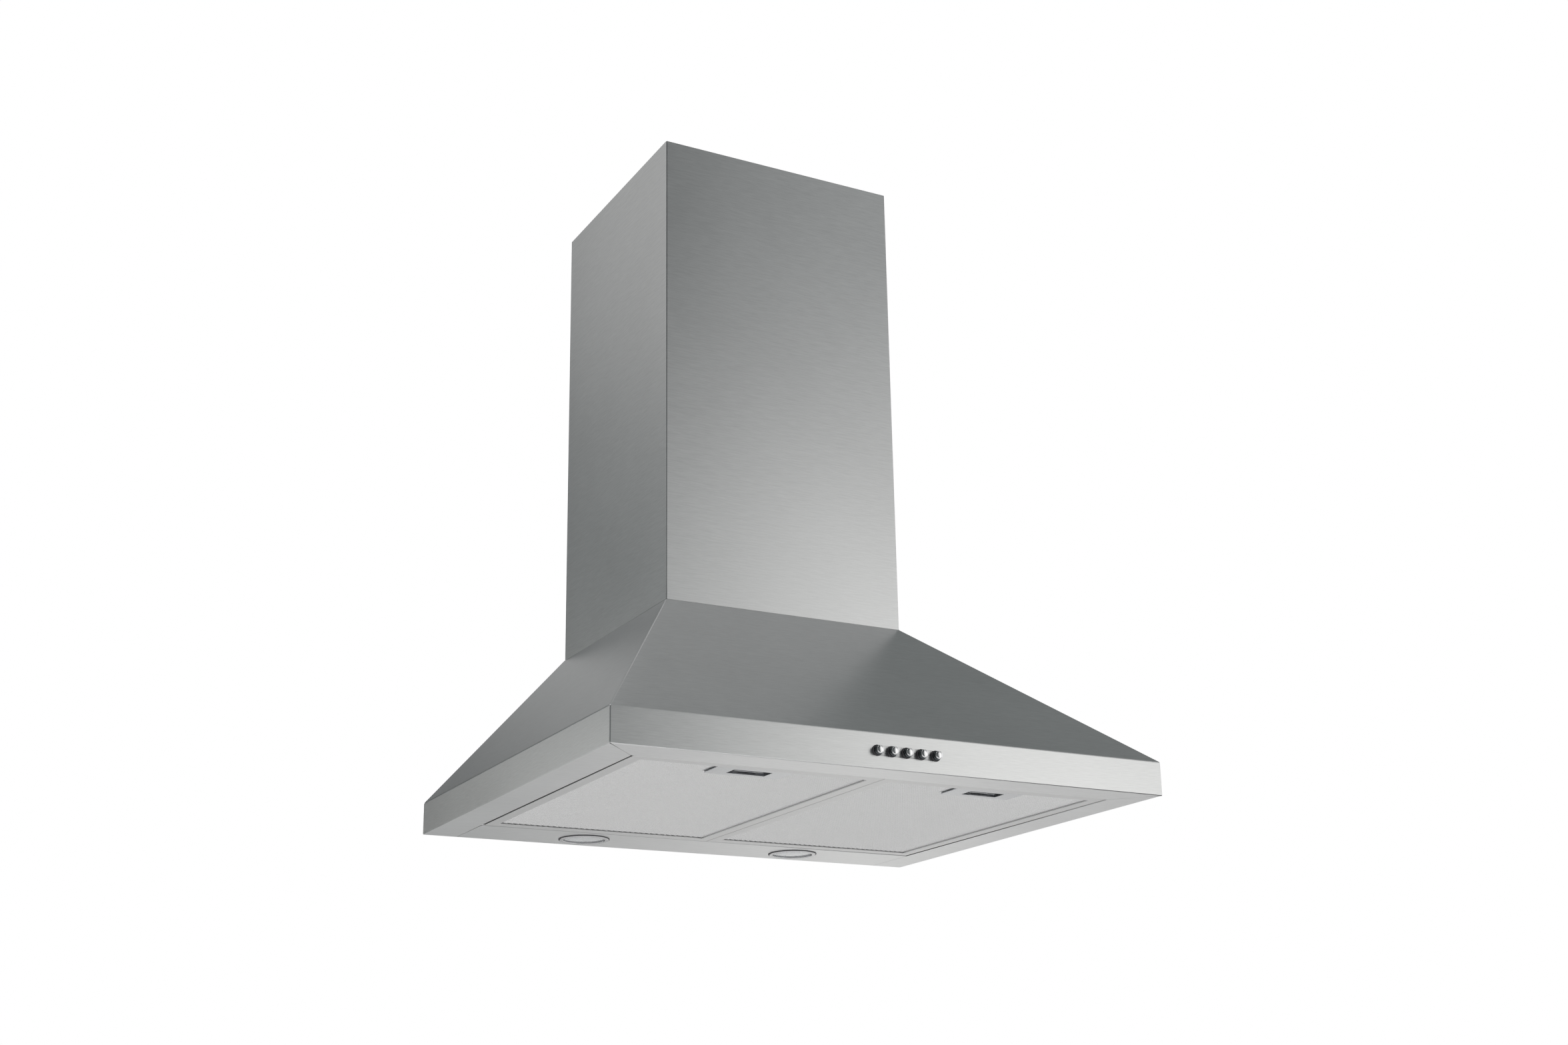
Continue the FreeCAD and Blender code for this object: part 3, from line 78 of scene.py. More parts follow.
def camera():
    """Camera below the hood's left front corner, looking up.

    Its place, angles and lens were solved from the edges of the photographed hood.
    """
    place = Vector((-0.95528, -2.01484, -0.42363))
    azimuth = math.radians(-28.664)
    elevation = math.radians(-16.536)
    roll = math.radians(-0.984)
    back = Vector(
        (
            math.sin(azimuth) * math.cos(elevation),
            -math.cos(azimuth) * math.cos(elevation),
            math.sin(elevation),
        )
    )
    right = (-back).cross(Vector((0, 0, 1))).normalized()
    up = right.cross(-back)
    axis_x = right * math.cos(roll) + up * math.sin(roll)
    axis_y = up * math.cos(roll) - right * math.sin(roll)
    data = bpy.data.cameras.new("camera")
    data.lens = 44.945
    data.sensor_width = 36
    data.shift_y = 0.05
    item = bpy.data.objects.new("camera", data)
    bpy.context.scene.collection.objects.link(item)
    turn = Matrix((axis_x, axis_y, back)).transposed().to_4x4()
    item.matrix_world = Matrix.Translation(place) @ turn
    bpy.context.scene.camera = item


# ---------------------------------------------------------------- shader nodes

NOISE_LOW = 0.3  # nearly all noise values lie between these two
NOISE_HIGH = 0.7
EDGE_REACH = 0.8 * MM  # how far from an edge the wear and the painted edge highlight begin
EDGE_SAMPLES = 4
EDGE_WEAR_AND_HIGHLIGHT = 1.22  # brightness of an edge, rubbed and with a painted highlight, against the plain surface


class Tree:
    """Node tree of a material or a world, with the few calls that the ones below need."""

    def __init__(self, owner, output):
        owner.use_nodes = True
        self.tree = owner.node_tree
        self.tree.nodes.clear()
        self.out = self.add(output)

    def add(self, kind, **values):
        node = self.tree.nodes.new(kind)
        for name, value in values.items():
            setattr(node, name, value)
        return node

    def link(self, source, target):
        self.tree.links.new(source, target)

    def maths(self, operation, first, second):
        node = self.add("ShaderNodeMath", operation=operation)
        for index, value in enumerate((first, second)):
            if isinstance(value, (int, float)):
                node.inputs[index].default_value = value
            else:
                self.link(value, node.inputs[index])
        return node.outputs[0]

    def background(self, strength):
        node = self.add("ShaderNodeBackground")
        node.inputs["Color"].default_value = (1, 1, 1, 1)
        node.inputs["Strength"].default_value = strength
        return node.outputs[0]


class Shader(Tree):
    """Node tree of one new material."""

    def __init__(self, name):
        self.material = bpy.data.materials.new(name)
        super().__init__(self.material, "ShaderNodeOutputMaterial")

    def principled(self, **sockets):
        node = self.add("ShaderNodeBsdfPrincipled")
        for name, value in sockets.items():
            node.inputs[name.replace("_", " ")].default_value = value
        self.link(node.outputs["BSDF"], self.out.inputs["Surface"])
        self.surface = node
        return node

    def place(self, scale):
        """Texture coordinates in metres, stretched by scale."""
        coordinates = self.add("ShaderNodeTexCoord")
        mapping = self.add("ShaderNodeMapping")
        mapping.inputs["Scale"].default_value = scale
        self.link(coordinates.outputs["Object"], mapping.inputs["Vector"])
        return mapping.outputs["Vector"]

    def noise(self, scale, detail=2.0, roughness=0.5):
        node = self.add("ShaderNodeTexNoise")
        node.inputs["Scale"].default_value = 1.0
        node.inputs["Detail"].default_value = detail
        node.inputs["Roughness"].default_value = roughness
        self.link(self.place(scale), node.inputs["Vector"])
        return node.outputs["Fac"]

    def remap(self, value, low, high, start=NOISE_LOW, end=NOISE_HIGH):
        """Value between start and end turned into low to high."""
        node = self.add("ShaderNodeMapRange")
        node.inputs["From Min"].default_value = start
        node.inputs["From Max"].default_value = end
        node.inputs["To Min"].default_value = low
        node.inputs["To Max"].default_value = high
        self.link(value, node.inputs["Value"])
        return node.outputs["Result"]

    def by_level(self, upright, level):
        """First value on upright and sloping faces, second on level ones."""
        geometry = self.add("ShaderNodeNewGeometry")
        split = self.add("ShaderNodeSeparateXYZ")
        self.link(geometry.outputs["True Normal"], split.inputs[0])
        facing = self.maths("ABSOLUTE", split.outputs["Z"], 0.0)
        mix = self.add("ShaderNodeMix")
        self.link(self.remap(facing, 0.0, 1.0, start=0.9, end=0.95), mix.inputs["Factor"])
        self.link(upright, mix.inputs["A"])
        self.link(level, mix.inputs["B"])
        return mix.outputs["Result"]

    def ramp(self, value, *stops):
        """Colour by value; each stop is a position and a colour."""
        node = self.add("ShaderNodeValToRGB")
        elements = node.color_ramp.elements
        while len(elements) < len(stops):
            elements.new(0.5)
        for element, (position, colour) in zip(elements, stops):
            element.position = position
            element.color = (*colour, 1)
        self.link(value, node.inputs["Fac"])
        return node.outputs["Color"]

    def between(self, noise, first, second):
        """Colour that goes from first to second with the noise."""
        return self.ramp(noise, (NOISE_LOW, first), (NOISE_HIGH, second))

    def uneven(self, noise, colour, contrast):
        """Colour that gets darker and lighter with the noise."""
        return self.between(noise, shade(colour, 1 - contrast), shade(colour, 1 + contrast))

    def bump(self, height, distance, strength):
        node = self.add("ShaderNodeBump")
        node.inputs["Strength"].default_value = strength
        node.inputs["Distance"].default_value = distance
        self.link(height, node.inputs["Height"])
        self.link(node.outputs["Normal"], self.surface.inputs["Normal"])

    def edge_wear_and_painted_light(self, tint, colour, factor=EDGE_WEAR_AND_HIGHLIGHT):
        """Tint that turns lighter along edges: wear where hands and cloths rub, together with a
        painted highlight.

        A factor below 1 paints the edges darker instead, as a painted dark reflection of the
        folds.
        """
        geometry = self.add("ShaderNodeNewGeometry")
        bevel = self.add("ShaderNodeBevel", samples=EDGE_SAMPLES)
        bevel.inputs["Radius"].default_value = EDGE_REACH
        turn = self.add("ShaderNodeVectorMath", operation="DOT_PRODUCT")
        self.link(geometry.outputs["True Normal"], turn.inputs[0])
        self.link(bevel.outputs["Normal"], turn.inputs[1])
        # edges found by the Bevel node: wear with a painted highlight, or painted shade where the
        # factor is below 1
        edge_wear_and_light = self.remap(turn.outputs["Value"], 0.6, 0.0, start=0.8, end=0.985)
        mix = self.add("ShaderNodeMix", data_type="RGBA")
        self.link(edge_wear_and_light, mix.inputs["Factor"])
        self.link(tint, mix.inputs["A"])
        mix.inputs["B"].default_value = (*shade(colour, factor), 1)
        return mix.outputs["Result"]


def shade(colour, factor):
    return tuple(min(1.0, channel * factor) for channel in colour)


# ---------------------------------------------------------------- materials

def brushed(name, colour, roughness, grain, blotch=5.0, contrast=0.06, edge=1.12):
    """Brushed metal with fine streaks and a broad uneven sheen.

    grain and blotch say how often the streaks and the sheen change in a metre.  Streaks that
    change fastest along Z lie level on upright faces, and run along X on level ones.
    """
    shader = Shader(name)
    surface = shader.principled(Metallic=1.0)
    fine = shader.noise(grain, detail=3.0, roughness=0.65)
    if grain[2] > 2 * grain[1]:
        level_grain = shader.noise((grain[0], grain[2], grain[1]), detail=3.0, roughness=0.65)
        fine = shader.by_level(fine, level_grain)
    broad = shader.noise((blotch, blotch, blotch), detail=3.0)
    fine_share = 0.7
    fine_part = shader.maths("MULTIPLY", fine, fine_share)
    broad_part = shader.maths("MULTIPLY", broad, 1 - fine_share)
    tone = shader.maths("ADD", fine_part, broad_part)
    tint = shader.uneven(tone, colour, contrast)
    # edge lightens the edges with wear and a painted highlight, or below 1 paints them darker as
    # a painted reflection
    shader.link(shader.edge_wear_and_painted_light(tint, colour, edge), surface.inputs["Base Color"])
    rough = shader.remap(tone, roughness * 0.93, roughness * 1.12)
    shader.link(rough, surface.inputs["Roughness"])
    shader.bump(fine, distance=0.006 * MM, strength=0.5)
    return shader.material


def cast(name, colour, roughness, metallic=0.0, relief=0.03, contrast=0.05):
    """Moulded, cast, painted or plated surface with a fine grain and a slight unevenness.

    relief is the depth of the grain in millimetres.
    """
    shader = Shader(name)
    surface = shader.principled(Metallic=metallic)
    fine = shader.noise((900.0, 900.0, 900.0), detail=2.0)
    broad = shader.noise((14.0, 14.0, 14.0), detail=3.0)
    tint = shader.uneven(broad, colour, contrast)
    # edges lighter: wear together with a painted highlight
    shader.link(shader.edge_wear_and_painted_light(tint, colour), surface.inputs["Base Color"])
    rough = shader.remap(broad, roughness * 0.85, roughness * 1.2)
    shader.link(rough, surface.inputs["Roughness"])
    shader.bump(fine, distance=relief * MM, strength=0.4)
    return shader.material


def fleece(name, colour):
    """Layered wire fleece inside the grease filters."""
    shader = Shader(name)
    surface = shader.principled(Metallic=0.3)
    strands = shader.noise((900.0, 300.0, 900.0), detail=4.0, roughness=0.7)
    clumps = shader.noise((160.0, 160.0, 160.0), detail=2.0)
    tone = shader.maths("MULTIPLY", strands, shader.remap(clumps, 0.6, 1.3))
    tint = shader.ramp(tone, (0.25, shade(colour, 0.45)), (0.65, shade(colour, 1.15)))
    shader.link(tint, surface.inputs["Base Color"])
    shader.link(shader.remap(clumps, 0.55, 0.8), surface.inputs["Roughness"])
    shader.bump(strands, distance=0.4 * MM, strength=0.8)
    return shader.material


def clear_glass(name):
    """Lamp glass, frosted lightly and a little unevenly."""
    shader = Shader(name)
    surface = shader.principled(IOR=1.45, Transmission_Weight=0.55)
    haze = shader.noise((90.0, 90.0, 90.0), detail=3.0)
    shader.link(shader.remap(haze, 0.08, 0.2), surface.inputs["Roughness"])
    tint = shader.between(haze, (0.93, 0.95, 0.96), (0.98, 0.99, 1.0))
    shader.link(tint, surface.inputs["Base Color"])
    return shader.material


def plain_name(material):
    """Material's name without the number that Blender adds to a name in use."""
    return material.name.split(".")[0]


MATERIALS = {
    plain_name(material): material
    for material in (
        # edge 0.62 paints the stainless edges darker: a painted dark reflection of the folds
        brushed(
            "stainless", (0.738, 0.742, 0.745), 0.30, (60.0, 60.0, 1300.0),
            blotch=6.0, contrast=0.10, edge=0.62,
        ),
        brushed(
            "zinc_steel", (0.62, 0.625, 0.63), 0.38, (90.0, 90.0, 90.0),
            blotch=30.0, contrast=0.08,
        ),
        brushed("filter_aluminium", (0.68, 0.68, 0.68), 0.36, (8.0, 700.0, 700.0)),
        brushed("expanded_aluminium", (0.70, 0.70, 0.70), 0.34, (300.0, 700.0, 700.0)),
        fleece("filter_mat", (0.42, 0.43, 0.44)),
        cast("latch_plastic", (0.62, 0.63, 0.65), 0.22, metallic=1.0),
        cast("chrome", (0.80, 0.80, 0.81), 0.07, metallic=1.0, relief=0.004, contrast=0.02),
        # chrome painted dark: a painted dark reflection on the buttons' drums
        cast("painted_dark_chrome", (0.10, 0.11, 0.115), 0.16, metallic=1.0, relief=0.004),
        cast("satin_chrome", (0.62, 0.62, 0.63), 0.24, metallic=1.0, relief=0.004, contrast=0.02),
        clear_glass("glass"),
        cast("reflector", (0.82, 0.83, 0.84), 0.12, metallic=1.0, relief=0.004),
        cast("ceramic", (0.80, 0.79, 0.74), 0.55, relief=0.06),
        cast("black_plastic", (0.03, 0.03, 0.033), 0.45, relief=0.05, contrast=0.2),
        cast("grey_plastic", (0.30, 0.31, 0.32), 0.5, relief=0.05, contrast=0.08),
        cast("motor_can", (0.10, 0.105, 0.11), 0.4, metallic=0.4, contrast=0.15),
        brushed("shaft_steel", (0.58, 0.58, 0.60), 0.22, (900.0, 8.0, 8.0)),
        cast("rubber", (0.025, 0.025, 0.025), 0.7, relief=0.08, contrast=0.2),
        brushed("screws", (0.66, 0.66, 0.68), 0.25, (400.0, 400.0, 20.0)),
    )
}


# ---------------------------------------------------------------- pieces

SAME_POINT = 0.001 * MM
FLAT_ANGLE = math.radians(0.5)  # faces that turn by less lie in one flat stretch
FOLD_ANGLE = math.radians(10)  # the least turn of a fold
SHARP_ANGLE = math.radians(35)  # edges that turn by more are eased
ON_AXIS = 1e-7
ROUND_SIDES = 72


def slots_by_node():
    """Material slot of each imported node."""
    return {
        name: plain_name(used)
        for name, node in frame["nodes"].items()
        for used in node.data.materials
    }


def dress(item, slot):
    item.data.materials.clear()
    item.data.materials.append(MATERIALS[slot])


def add_piece(name, mesh, finish, *replaced):
    """Object for a mesh in frame coordinates, riding where the nodes that it replaces ride."""
    item = bpy.data.objects.new(name, mesh)
    bpy.context.scene.collection.objects.link(item)
    dress(item, finish)
    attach(item, frame["nodes"][replaced[0]]["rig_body"])
    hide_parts(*replaced)
    return item


def add_mesh(name, points, faces):
    mesh = bpy.data.meshes.new(name)
    mesh.from_pydata(points, [], faces)
    mesh.update()
    return mesh


def welded(node):
    """The node's solid with its triangles joined along their edges."""
    shape = bmesh.new()
    shape.from_mesh(frame["nodes"][node].data)
    bmesh.ops.remove_doubles(shape, verts=shape.verts, dist=SAME_POINT)
    return shape


def is_flat(edge):
    return len(edge.link_faces) == 2 and edge.calc_face_angle(0) < FLAT_ANGLE


def face_breadths(shape):
    """Rough width of the flat stretch that each triangle lies in."""
    breadths = {}
    for seed in shape.faces:
        if seed in breadths:
            continue
        stretch = {seed}
        waiting = [seed]
        rim = 0.0
        while waiting:
            for edge in waiting.pop().edges:
                if not is_flat(edge):
                    rim += edge.calc_length()
                    continue
                for face in edge.link_faces:
                    if face not in stretch:
                        stretch.add(face)
                        waiting.append(face)
        area = sum(face.calc_area() for face in stretch)
        for face in stretch:
            breadths[face] = 2 * area / rim
    return breadths


def mark_folds(shape, sheet):
    """Weight 1 on each outer fold, which joins two stretches wider than the sheet's cut edge."""
    cut_edge = 1.6 * sheet
    weight = shape.edges.layers.float.new("bevel_weight_edge")
    breadths = face_breadths(shape)
    for edge in shape.edges:
        if len(edge.link_faces) != 2 or not edge.is_convex:
            continue
        narrower = min(breadths[face] for face in edge.link_faces)
        if edge.calc_face_angle(0) > FOLD_ANGLE and narrower > cut_edge:
            edge[weight] = 1.0


def weigh_normals(item):
    """Shading that keeps large faces flat beside small rounded ones."""
    normals = item.modifiers.new("normals", "WEIGHTED_NORMAL")
    normals.keep_sharp = True


def soften(item, radius, segments, by_weight=False):
    """Rounded edges with smooth shading, on the marked edges alone where by_weight."""
    bevel = item.modifiers.new("rounding", "BEVEL")
    bevel.width = radius
    bevel.segments = segments
    if by_weight:
        bevel.limit_method = "WEIGHT"
        bevel.use_clamp_overlap = False
    else:
        bevel.limit_method = "ANGLE"
        bevel.angle_limit = SHARP_ANGLE
    weigh_normals(item)


def from_node(node, suffix, slot, shape):
    mesh = bpy.data.meshes.new(node)
    shape.to_mesh(mesh)
    shape.free()
    mesh.shade_smooth()
    return add_piece(f"{node}_{suffix}", mesh, slot, node)


def folded(node, slot, radius, sheet):
    """Sheet-metal node with rounded folds."""
    shape = welded(node)
    mark_folds(shape, sheet)
    soften(from_node(node, "folded", slot, shape), radius, 3, by_weight=True)


def rounded(node, slot, radius, segments=2):
    """Node with every sharp edge eased."""
    item = from_node(node, "rounded", slot, welded(node))
    soften(item, radius, segments)
    return item


def expanded_sheet(side):
    """Expanded metal in a filter's window: staggered diamonds between tilted strands.

    Each diamond is a ring of four strands from its outline to its opening, whose front and rear
    corners are tilted out of the sheet.
    """
    node = f"filter_mesh_{side}"
    low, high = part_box(node)
    frame_low, frame_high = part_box(f"filter_frame_{side}")
    cup_low, cup_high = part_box(f"latch_cup_{side}")
    rail = 11 * MM
    pitch_x = 6.3 * MM
    pitch_y = 3.4 * MM
    open_share = 0.60
    rear_open_share = 0.9
    tilt = 0.55 * MM
    level = (low.z + high.z) / 2
    left = frame_low.x + rail
    right = frame_high.x - rail
    front = frame_low.y + rail
    rear = frame_high.y - rail
    columns = round((right - left) / pitch_x)
    rows = round(2 * (rear - front) / pitch_y)
    latch_left = cup_low.x - 3 * MM
    latch_right = cup_high.x - 2 * MM
    latch_rear = cup_high.y - 2 * MM
    points = []
    faces = []
    for row in range(rows):
        y = front + (row + 0.5) * pitch_y / 2
        opening = rear_open_share if row >= rows - 2 else open_share
        for column in range(columns):
            x = left + (column + 0.5 + 0.5 * (row % 2)) * pitch_x
            if latch_left < x < latch_right and y < latch_rear:
                continue
            first = len(points)
            for share, lift in ((1.0, 0.0), (opening, tilt)):
                half_x = share * pitch_x / 2
                half_y = share * pitch_y / 2
                points.append((x - half_x, y, level))
                points.append((x, y - half_y, level - lift))
                points.append((x + half_x, y, level))
                points.append((x, y + half_y, level + lift))
            for corner in range(4):
                after = (corner + 1) % 4
                faces.append(
                    (first + corner, first + after, first + 4 + after, first + 4 + corner)
                )
    mesh = add_mesh(node, points, faces)
    add_piece(f"{node}_fine", mesh, "expanded_aluminium", node)


def mat(side):
    """Fleece pad behind the expanded sheet."""
    node = f"filter_mat_{side}"
    item = from_node(node, "pad", "filter_mat", welded(node))


# ---------------------------------------------------------------- turned pieces

def arc(middle_r, middle_h, radius_r, radius_h, start, end, steps):
    """Points of a profile on an ellipse, between two angles in degrees from the radial way."""
    points = []
    for step in range(steps + 1):
        angle = math.radians(start + (end - start) * step / steps)
        points.append(
            (middle_r + radius_r * math.cos(angle), middle_h + radius_h * math.sin(angle))
        )
    return points


def circle(centre, out, radius, height, sides, shift):
    """Points round a centre, at a height along out, which is -Y or -Z."""
    points = []
    for step in range(1 if radius < ON_AXIS else sides):
        angle = 2 * math.pi * (step + shift) / sides
        first = radius * math.cos(angle)
        second = radius * math.sin(angle)
        if out == "-Y":
            points.append((centre[0] + first, centre[1] - height, centre[2] + second))
        else:
            points.append((centre[0] + first, centre[1] + second, centre[2] - height))
    return points


def band(low, high, facets, odd):
    """Faces between two rings of points; either may be a single point on the axis."""
    sides = max(len(low), len(high))
    faces = []
    for step in range(sides):
        after = (step + 1) % sides
        if len(low) == 1:
            faces.append((low[0], high[after], high[step]))
        elif len(high) == 1:
            faces.append((low[step], low[after], high[0]))
        elif not facets:
            faces.append((low[step], low[after], high[after], high[step]))
        elif odd:
            faces.append((low[step], low[after], high[after]))
            faces.append((low[step], high[after], high[step]))
        else:
            faces.append((low[step], low[after], high[step]))
            faces.append((low[after], high[after], high[step]))
    return faces


def turned(name, centres, out, profile, slot, node, closed=False, facets=0):
    """Piece turned about each centre from a profile of radii and heights along out.

    closed joins the profile's ends.  facets is the number of flat dents round a ring, and
    without it the piece is smooth.
    """
    sides = facets or ROUND_SIDES
    points = []
    faces = []
    for centre in centres:
        rings = []
        for index, (radius, height) in enumerate(profile):
            shift = 0.5 if facets and index % 2 else 0.0
            ring = circle(centre, out, radius, height, sides, shift)
            rings.append(range(len(points), len(points) + len(ring)))
            points += ring
        pairs = list(zip(rings, rings[1:]))
        if closed:
            pairs.append((rings[-1], rings[0]))
        for index, (low, high) in enumerate(pairs):
            faces += band(low, high, facets, index % 2)
    mesh = add_mesh(name, points, faces)
    shape = bmesh.new()
    shape.from_mesh(mesh)
    bmesh.ops.recalc_face_normals(shape, faces=shape.faces)
    shape.to_mesh(mesh)
    shape.free()
    if not facets:
        mesh.shade_smooth()
    item = add_piece(name, mesh, slot, node)
    if not facets:
        weigh_normals(item)


def button(node):
    """Push button: a stem, a stepped drum whose chrome is painted dark as a painted reflection,
    and a bright domed head.
    """
    low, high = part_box(node)
    centre = ((low.x + high.x) / 2, frame_front, (low.z + high.z) / 2)
    radius = (high.x - low.x) / 2
    proud = frame_front - low.y
    stem = frame_front - high.y
    stem_radius = 1.75 * MM
    heel = 0.9 * MM
    shoulder = 3.1 * MM
    groove = 3.6 * MM
    step = 4.7 * MM
    ease = 0.3 * MM
    inset = radius - 0.45 * MM
    head = 3.75 * MM
    root = head - 0.4 * MM
    drum = [(0, stem), (stem_radius, stem), (stem_radius, heel), (radius - ease, heel)]
    drum += [(radius, heel + ease), (radius, shoulder)]
    drum += arc(radius - ease, shoulder, ease, ease, 0, 90, 4)
    drum += [(inset, groove)]
    drum += arc(inset, step - ease, ease, ease, 0, 90, 4)
    drum += [(root, step), (0, step)]
    # the drum's chrome is painted dark, a painted dark reflection
    turned(f"{node}_drum", [centre], "-Y", drum, "painted_dark_chrome", node)

    neck = head - 0.5 * MM
    lap = 0.2 * MM
    rim = 0.7 * MM
    dome = 0.55 * MM
    bright = [(0, step - lap), (neck, step - lap), (neck, step + lap)]
    bright += arc(root, step + 0.7 * MM, 0.4 * MM, 0.5 * MM, -90, 0, 4)
    bright += arc(head - rim, proud - 1.3 * MM, rim, 0.8 * MM, 0, 70, 5)
    bright += arc(0, proud - dome, neck, dome, 25, 90, 7)[1:-1]
    bright += [(0, proud)]
    turned(f"{node}_head", [centre], "-Y", bright, "chrome", node)


def button_rings(button_nodes):
    """Stepped collars round the buttons."""
    node = "button_rings"
    low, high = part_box(node)
    centres = []
    for name in button_nodes:
        box_low, box_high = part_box(name)
        centres.append(((box_low.x + box_high.x) / 2, frame_front, (box_low.z + box_high.z) / 2))
    outer = (high.z - low.z) / 2 - 0.3 * MM
    bore = 4.46 * MM
    depth = frame_front - low.y
    ledge = 0.8 * MM
    edge = 0.25 * MM
    rim = 0.3 * MM
    profile = [(bore, 0.0), (outer, 0.0)]
    profile += arc(outer - edge, 0.55 * MM, edge, edge, 0, 90, 3)
    profile += [(outer - 0.55 * MM, ledge)]
    profile += arc(outer - 0.75 * MM, depth - rim, rim, rim, 0, 90, 3)
    profile += [(bore + 0.1 * MM, depth), (bore, depth - 0.1 * MM)]
    turned(f"{node}_turned", centres, "-Y", profile, "black_plastic", node, closed=True)


def lamp(side):
    """Lamp: a bezel with a rolled rim and a black ring as a painted shadow line, a domed glass
    and a reflector bulb.
    """
    node = f"lamp_bezel_{side}"
    low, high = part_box(node)
    centre = ((low.x + high.x) / 2, (low.y + high.y) / 2, low.z)
    outer = (high.x - low.x) / 2
    bore = 22.6 * MM
    lamp_bezel(node, centre, outer, low.z - high.z, bore)
    lamp_glass(f"lamp_glass_{side}", centre, bore)
    lamp_bulb(f"lamp_bulb_{side}", centre)


def lamp_bezel(node, centre, outer, top, bore):
    """Bezel with a rolled rim, ringed against the lamp strip by a black ring that is a painted
    shadow line.
    """
    sleeve = 24.7 * MM
    sleeve_bore = sleeve - 1 * MM
    skin = -1.6 * MM
    ledge = skin - 0.4 * MM
    # inner radius of the black ring that paints the shadow line at the bezel's edge
    painted_shadow_ring = outer - 0.9 * MM
    profile = [(sleeve_bore, top), (sleeve, top), (sleeve, skin), (painted_shadow_ring - 0.1 * MM, skin)]
    profile += arc(painted_shadow_ring - 1.1 * MM, -1.0 * MM, 1.1 * MM, 0.9 * MM, 0, 90, 6)
    profile += [(bore + 2.2 * MM, -0.25 * MM)]
    profile += arc(bore + 0.8 * MM, -0.8 * MM, 0.8 * MM, 0.8 * MM, 80, 180, 6)
    profile += [(bore, ledge), (sleeve_bore, ledge)]
    turned(f"{node}_turned", [centre], "-Z", profile, "satin_chrome", node, closed=True)

    # black ring at the bezel's edge: a painted shadow line where the bezel meets the strip
    painted_shadow_ring_bore = painted_shadow_ring - 0.6 * MM
    lip = skin + 0.8 * MM
    profile = [(painted_shadow_ring_bore, skin), (outer, skin), (outer, skin + 0.5 * MM)]
    profile += [(outer - 0.3 * MM, lip), (painted_shadow_ring_bore, lip)]
    turned(f"{node}_seal", [centre], "-Z", profile, "black_plastic", node, closed=True)


def lamp_glass(node, centre, bore):
    """Round glass, bulging a little below the bezel's ledge."""
    low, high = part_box(node)
    level = (centre[0], centre[1], low.z)
    radius = (high.x - low.x) / 2
    thick = high.z - low.z
    ease_above = 0.3 * MM
    ease_below = 0.2 * MM
    bulge = 1.3 * MM
    profile = [(0, -thick), (radius - ease_above, -thick), (radius, ease_above - thick)]
    profile += [(radius, -ease_below), (radius - ease_below, 0), (bore - ease_below, 0)]
    for share in (0.95, 0.85, 0.7, 0.55, 0.4, 0.25, 0.1):
        profile.append((share * bore, bulge * (1 - share ** 2)))
    profile += [(0, bulge)]
    turned(f"{node}_turned", [level], "-Z", profile, "glass", node)


def lamp_bulb(node, centre):
    """Bulb: a faceted reflector inside a shell, with a capsule in its middle."""
    low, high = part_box(node)
    level = (centre[0], centre[1], low.z)
    rim = (high.x - low.x) / 2
    height = high.z - low.z
    neck = 9 * MM
    lip = 0.8 * MM
    wall = 1 * MM
    bowl = 0.62 * height
    bowl_steps = 7
    inside = [(0, -bowl)]
    for step in range(1, bowl_steps + 1):
        share = step / bowl_steps
        inside.append(((rim - wall) * share ** 0.75, -bowl * (1 - share ** 1.8)))
    inside += [(rim, 0)]
    turned(f"{node}_facets", [level], "-Z", inside, "reflector", node, facets=30)

    shoulder = 0.74 * height
    shoulder_steps = 6
    ease = 0.6 * MM
    shell = [(rim - wall, 0), (rim, -lip)]
    for step in range(1, shoulder_steps + 1):
        share = step / shoulder_steps
        radius = rim + (neck - rim) * share ** 1.15
        shell.append((radius, -shoulder * share ** 0.9 - lip * (1 - share)))
    shell += [(neck, -height + ease), (neck - ease, -height), (0, -height)]
    turned(f"{node}_shell", [level], "-Z", shell, "reflector", node)

    wide = 3.2 * MM
    narrow = 2.4 * MM
    capsule = [(0, -0.18 * height)]
    capsule += arc(0, -0.24 * height, wide, 0.06 * height, 90, 0, 6)[1:]
    capsule += [(wide, -0.5 * height), (narrow, -0.56 * height), (narrow, -0.66 * height)]
    turned(f"{node}_capsule", [level], "-Z", capsule, "reflector", node)


def leaf_spring(side, slot):
    """Leaf spring behind a latch's tongue, with eased edges on a mesh of its own; nothing here
    presses it flat as the tongue is pulled back.
    """
    node = f"latch_spring_{side}"
    item = rounded(node, slot, 0.1 * MM)
    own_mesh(item)


# ---------------------------------------------------------------- studio

def world():
    """Plain soft light on the object, and white where the camera, metal and glass see it."""
    studio_world = bpy.data.worlds.new("studio")
    bpy.context.scene.world = studio_world
    nodes = Tree(studio_world, "ShaderNodeOutputWorld")
    light = nodes.background(0.7)
    white = nodes.background(1.0)
    path = nodes.add("ShaderNodeLightPath")
    seen = nodes.maths("MAXIMUM", path.outputs["Is Camera Ray"], path.outputs["Is Glossy Ray"])
    seen = nodes.maths("MAXIMUM", seen, path.outputs["Is Transmission Ray"])
    mix = nodes.add("ShaderNodeMixShader")
    nodes.link(seen, mix.inputs["Fac"])
    nodes.link(light, mix.inputs[1])
    nodes.link(white, mix.inputs[2])
    nodes.link(mix.outputs[0], nodes.out.inputs["Surface"])


def stage_plane(name, corners, material):
    mesh = add_mesh(name, corners, [(0, 1, 2, 3)])
    item = bpy.data.objects.new(name, mesh)
    bpy.context.scene.collection.objects.link(item)
    item.data.materials.append(material)
    return item


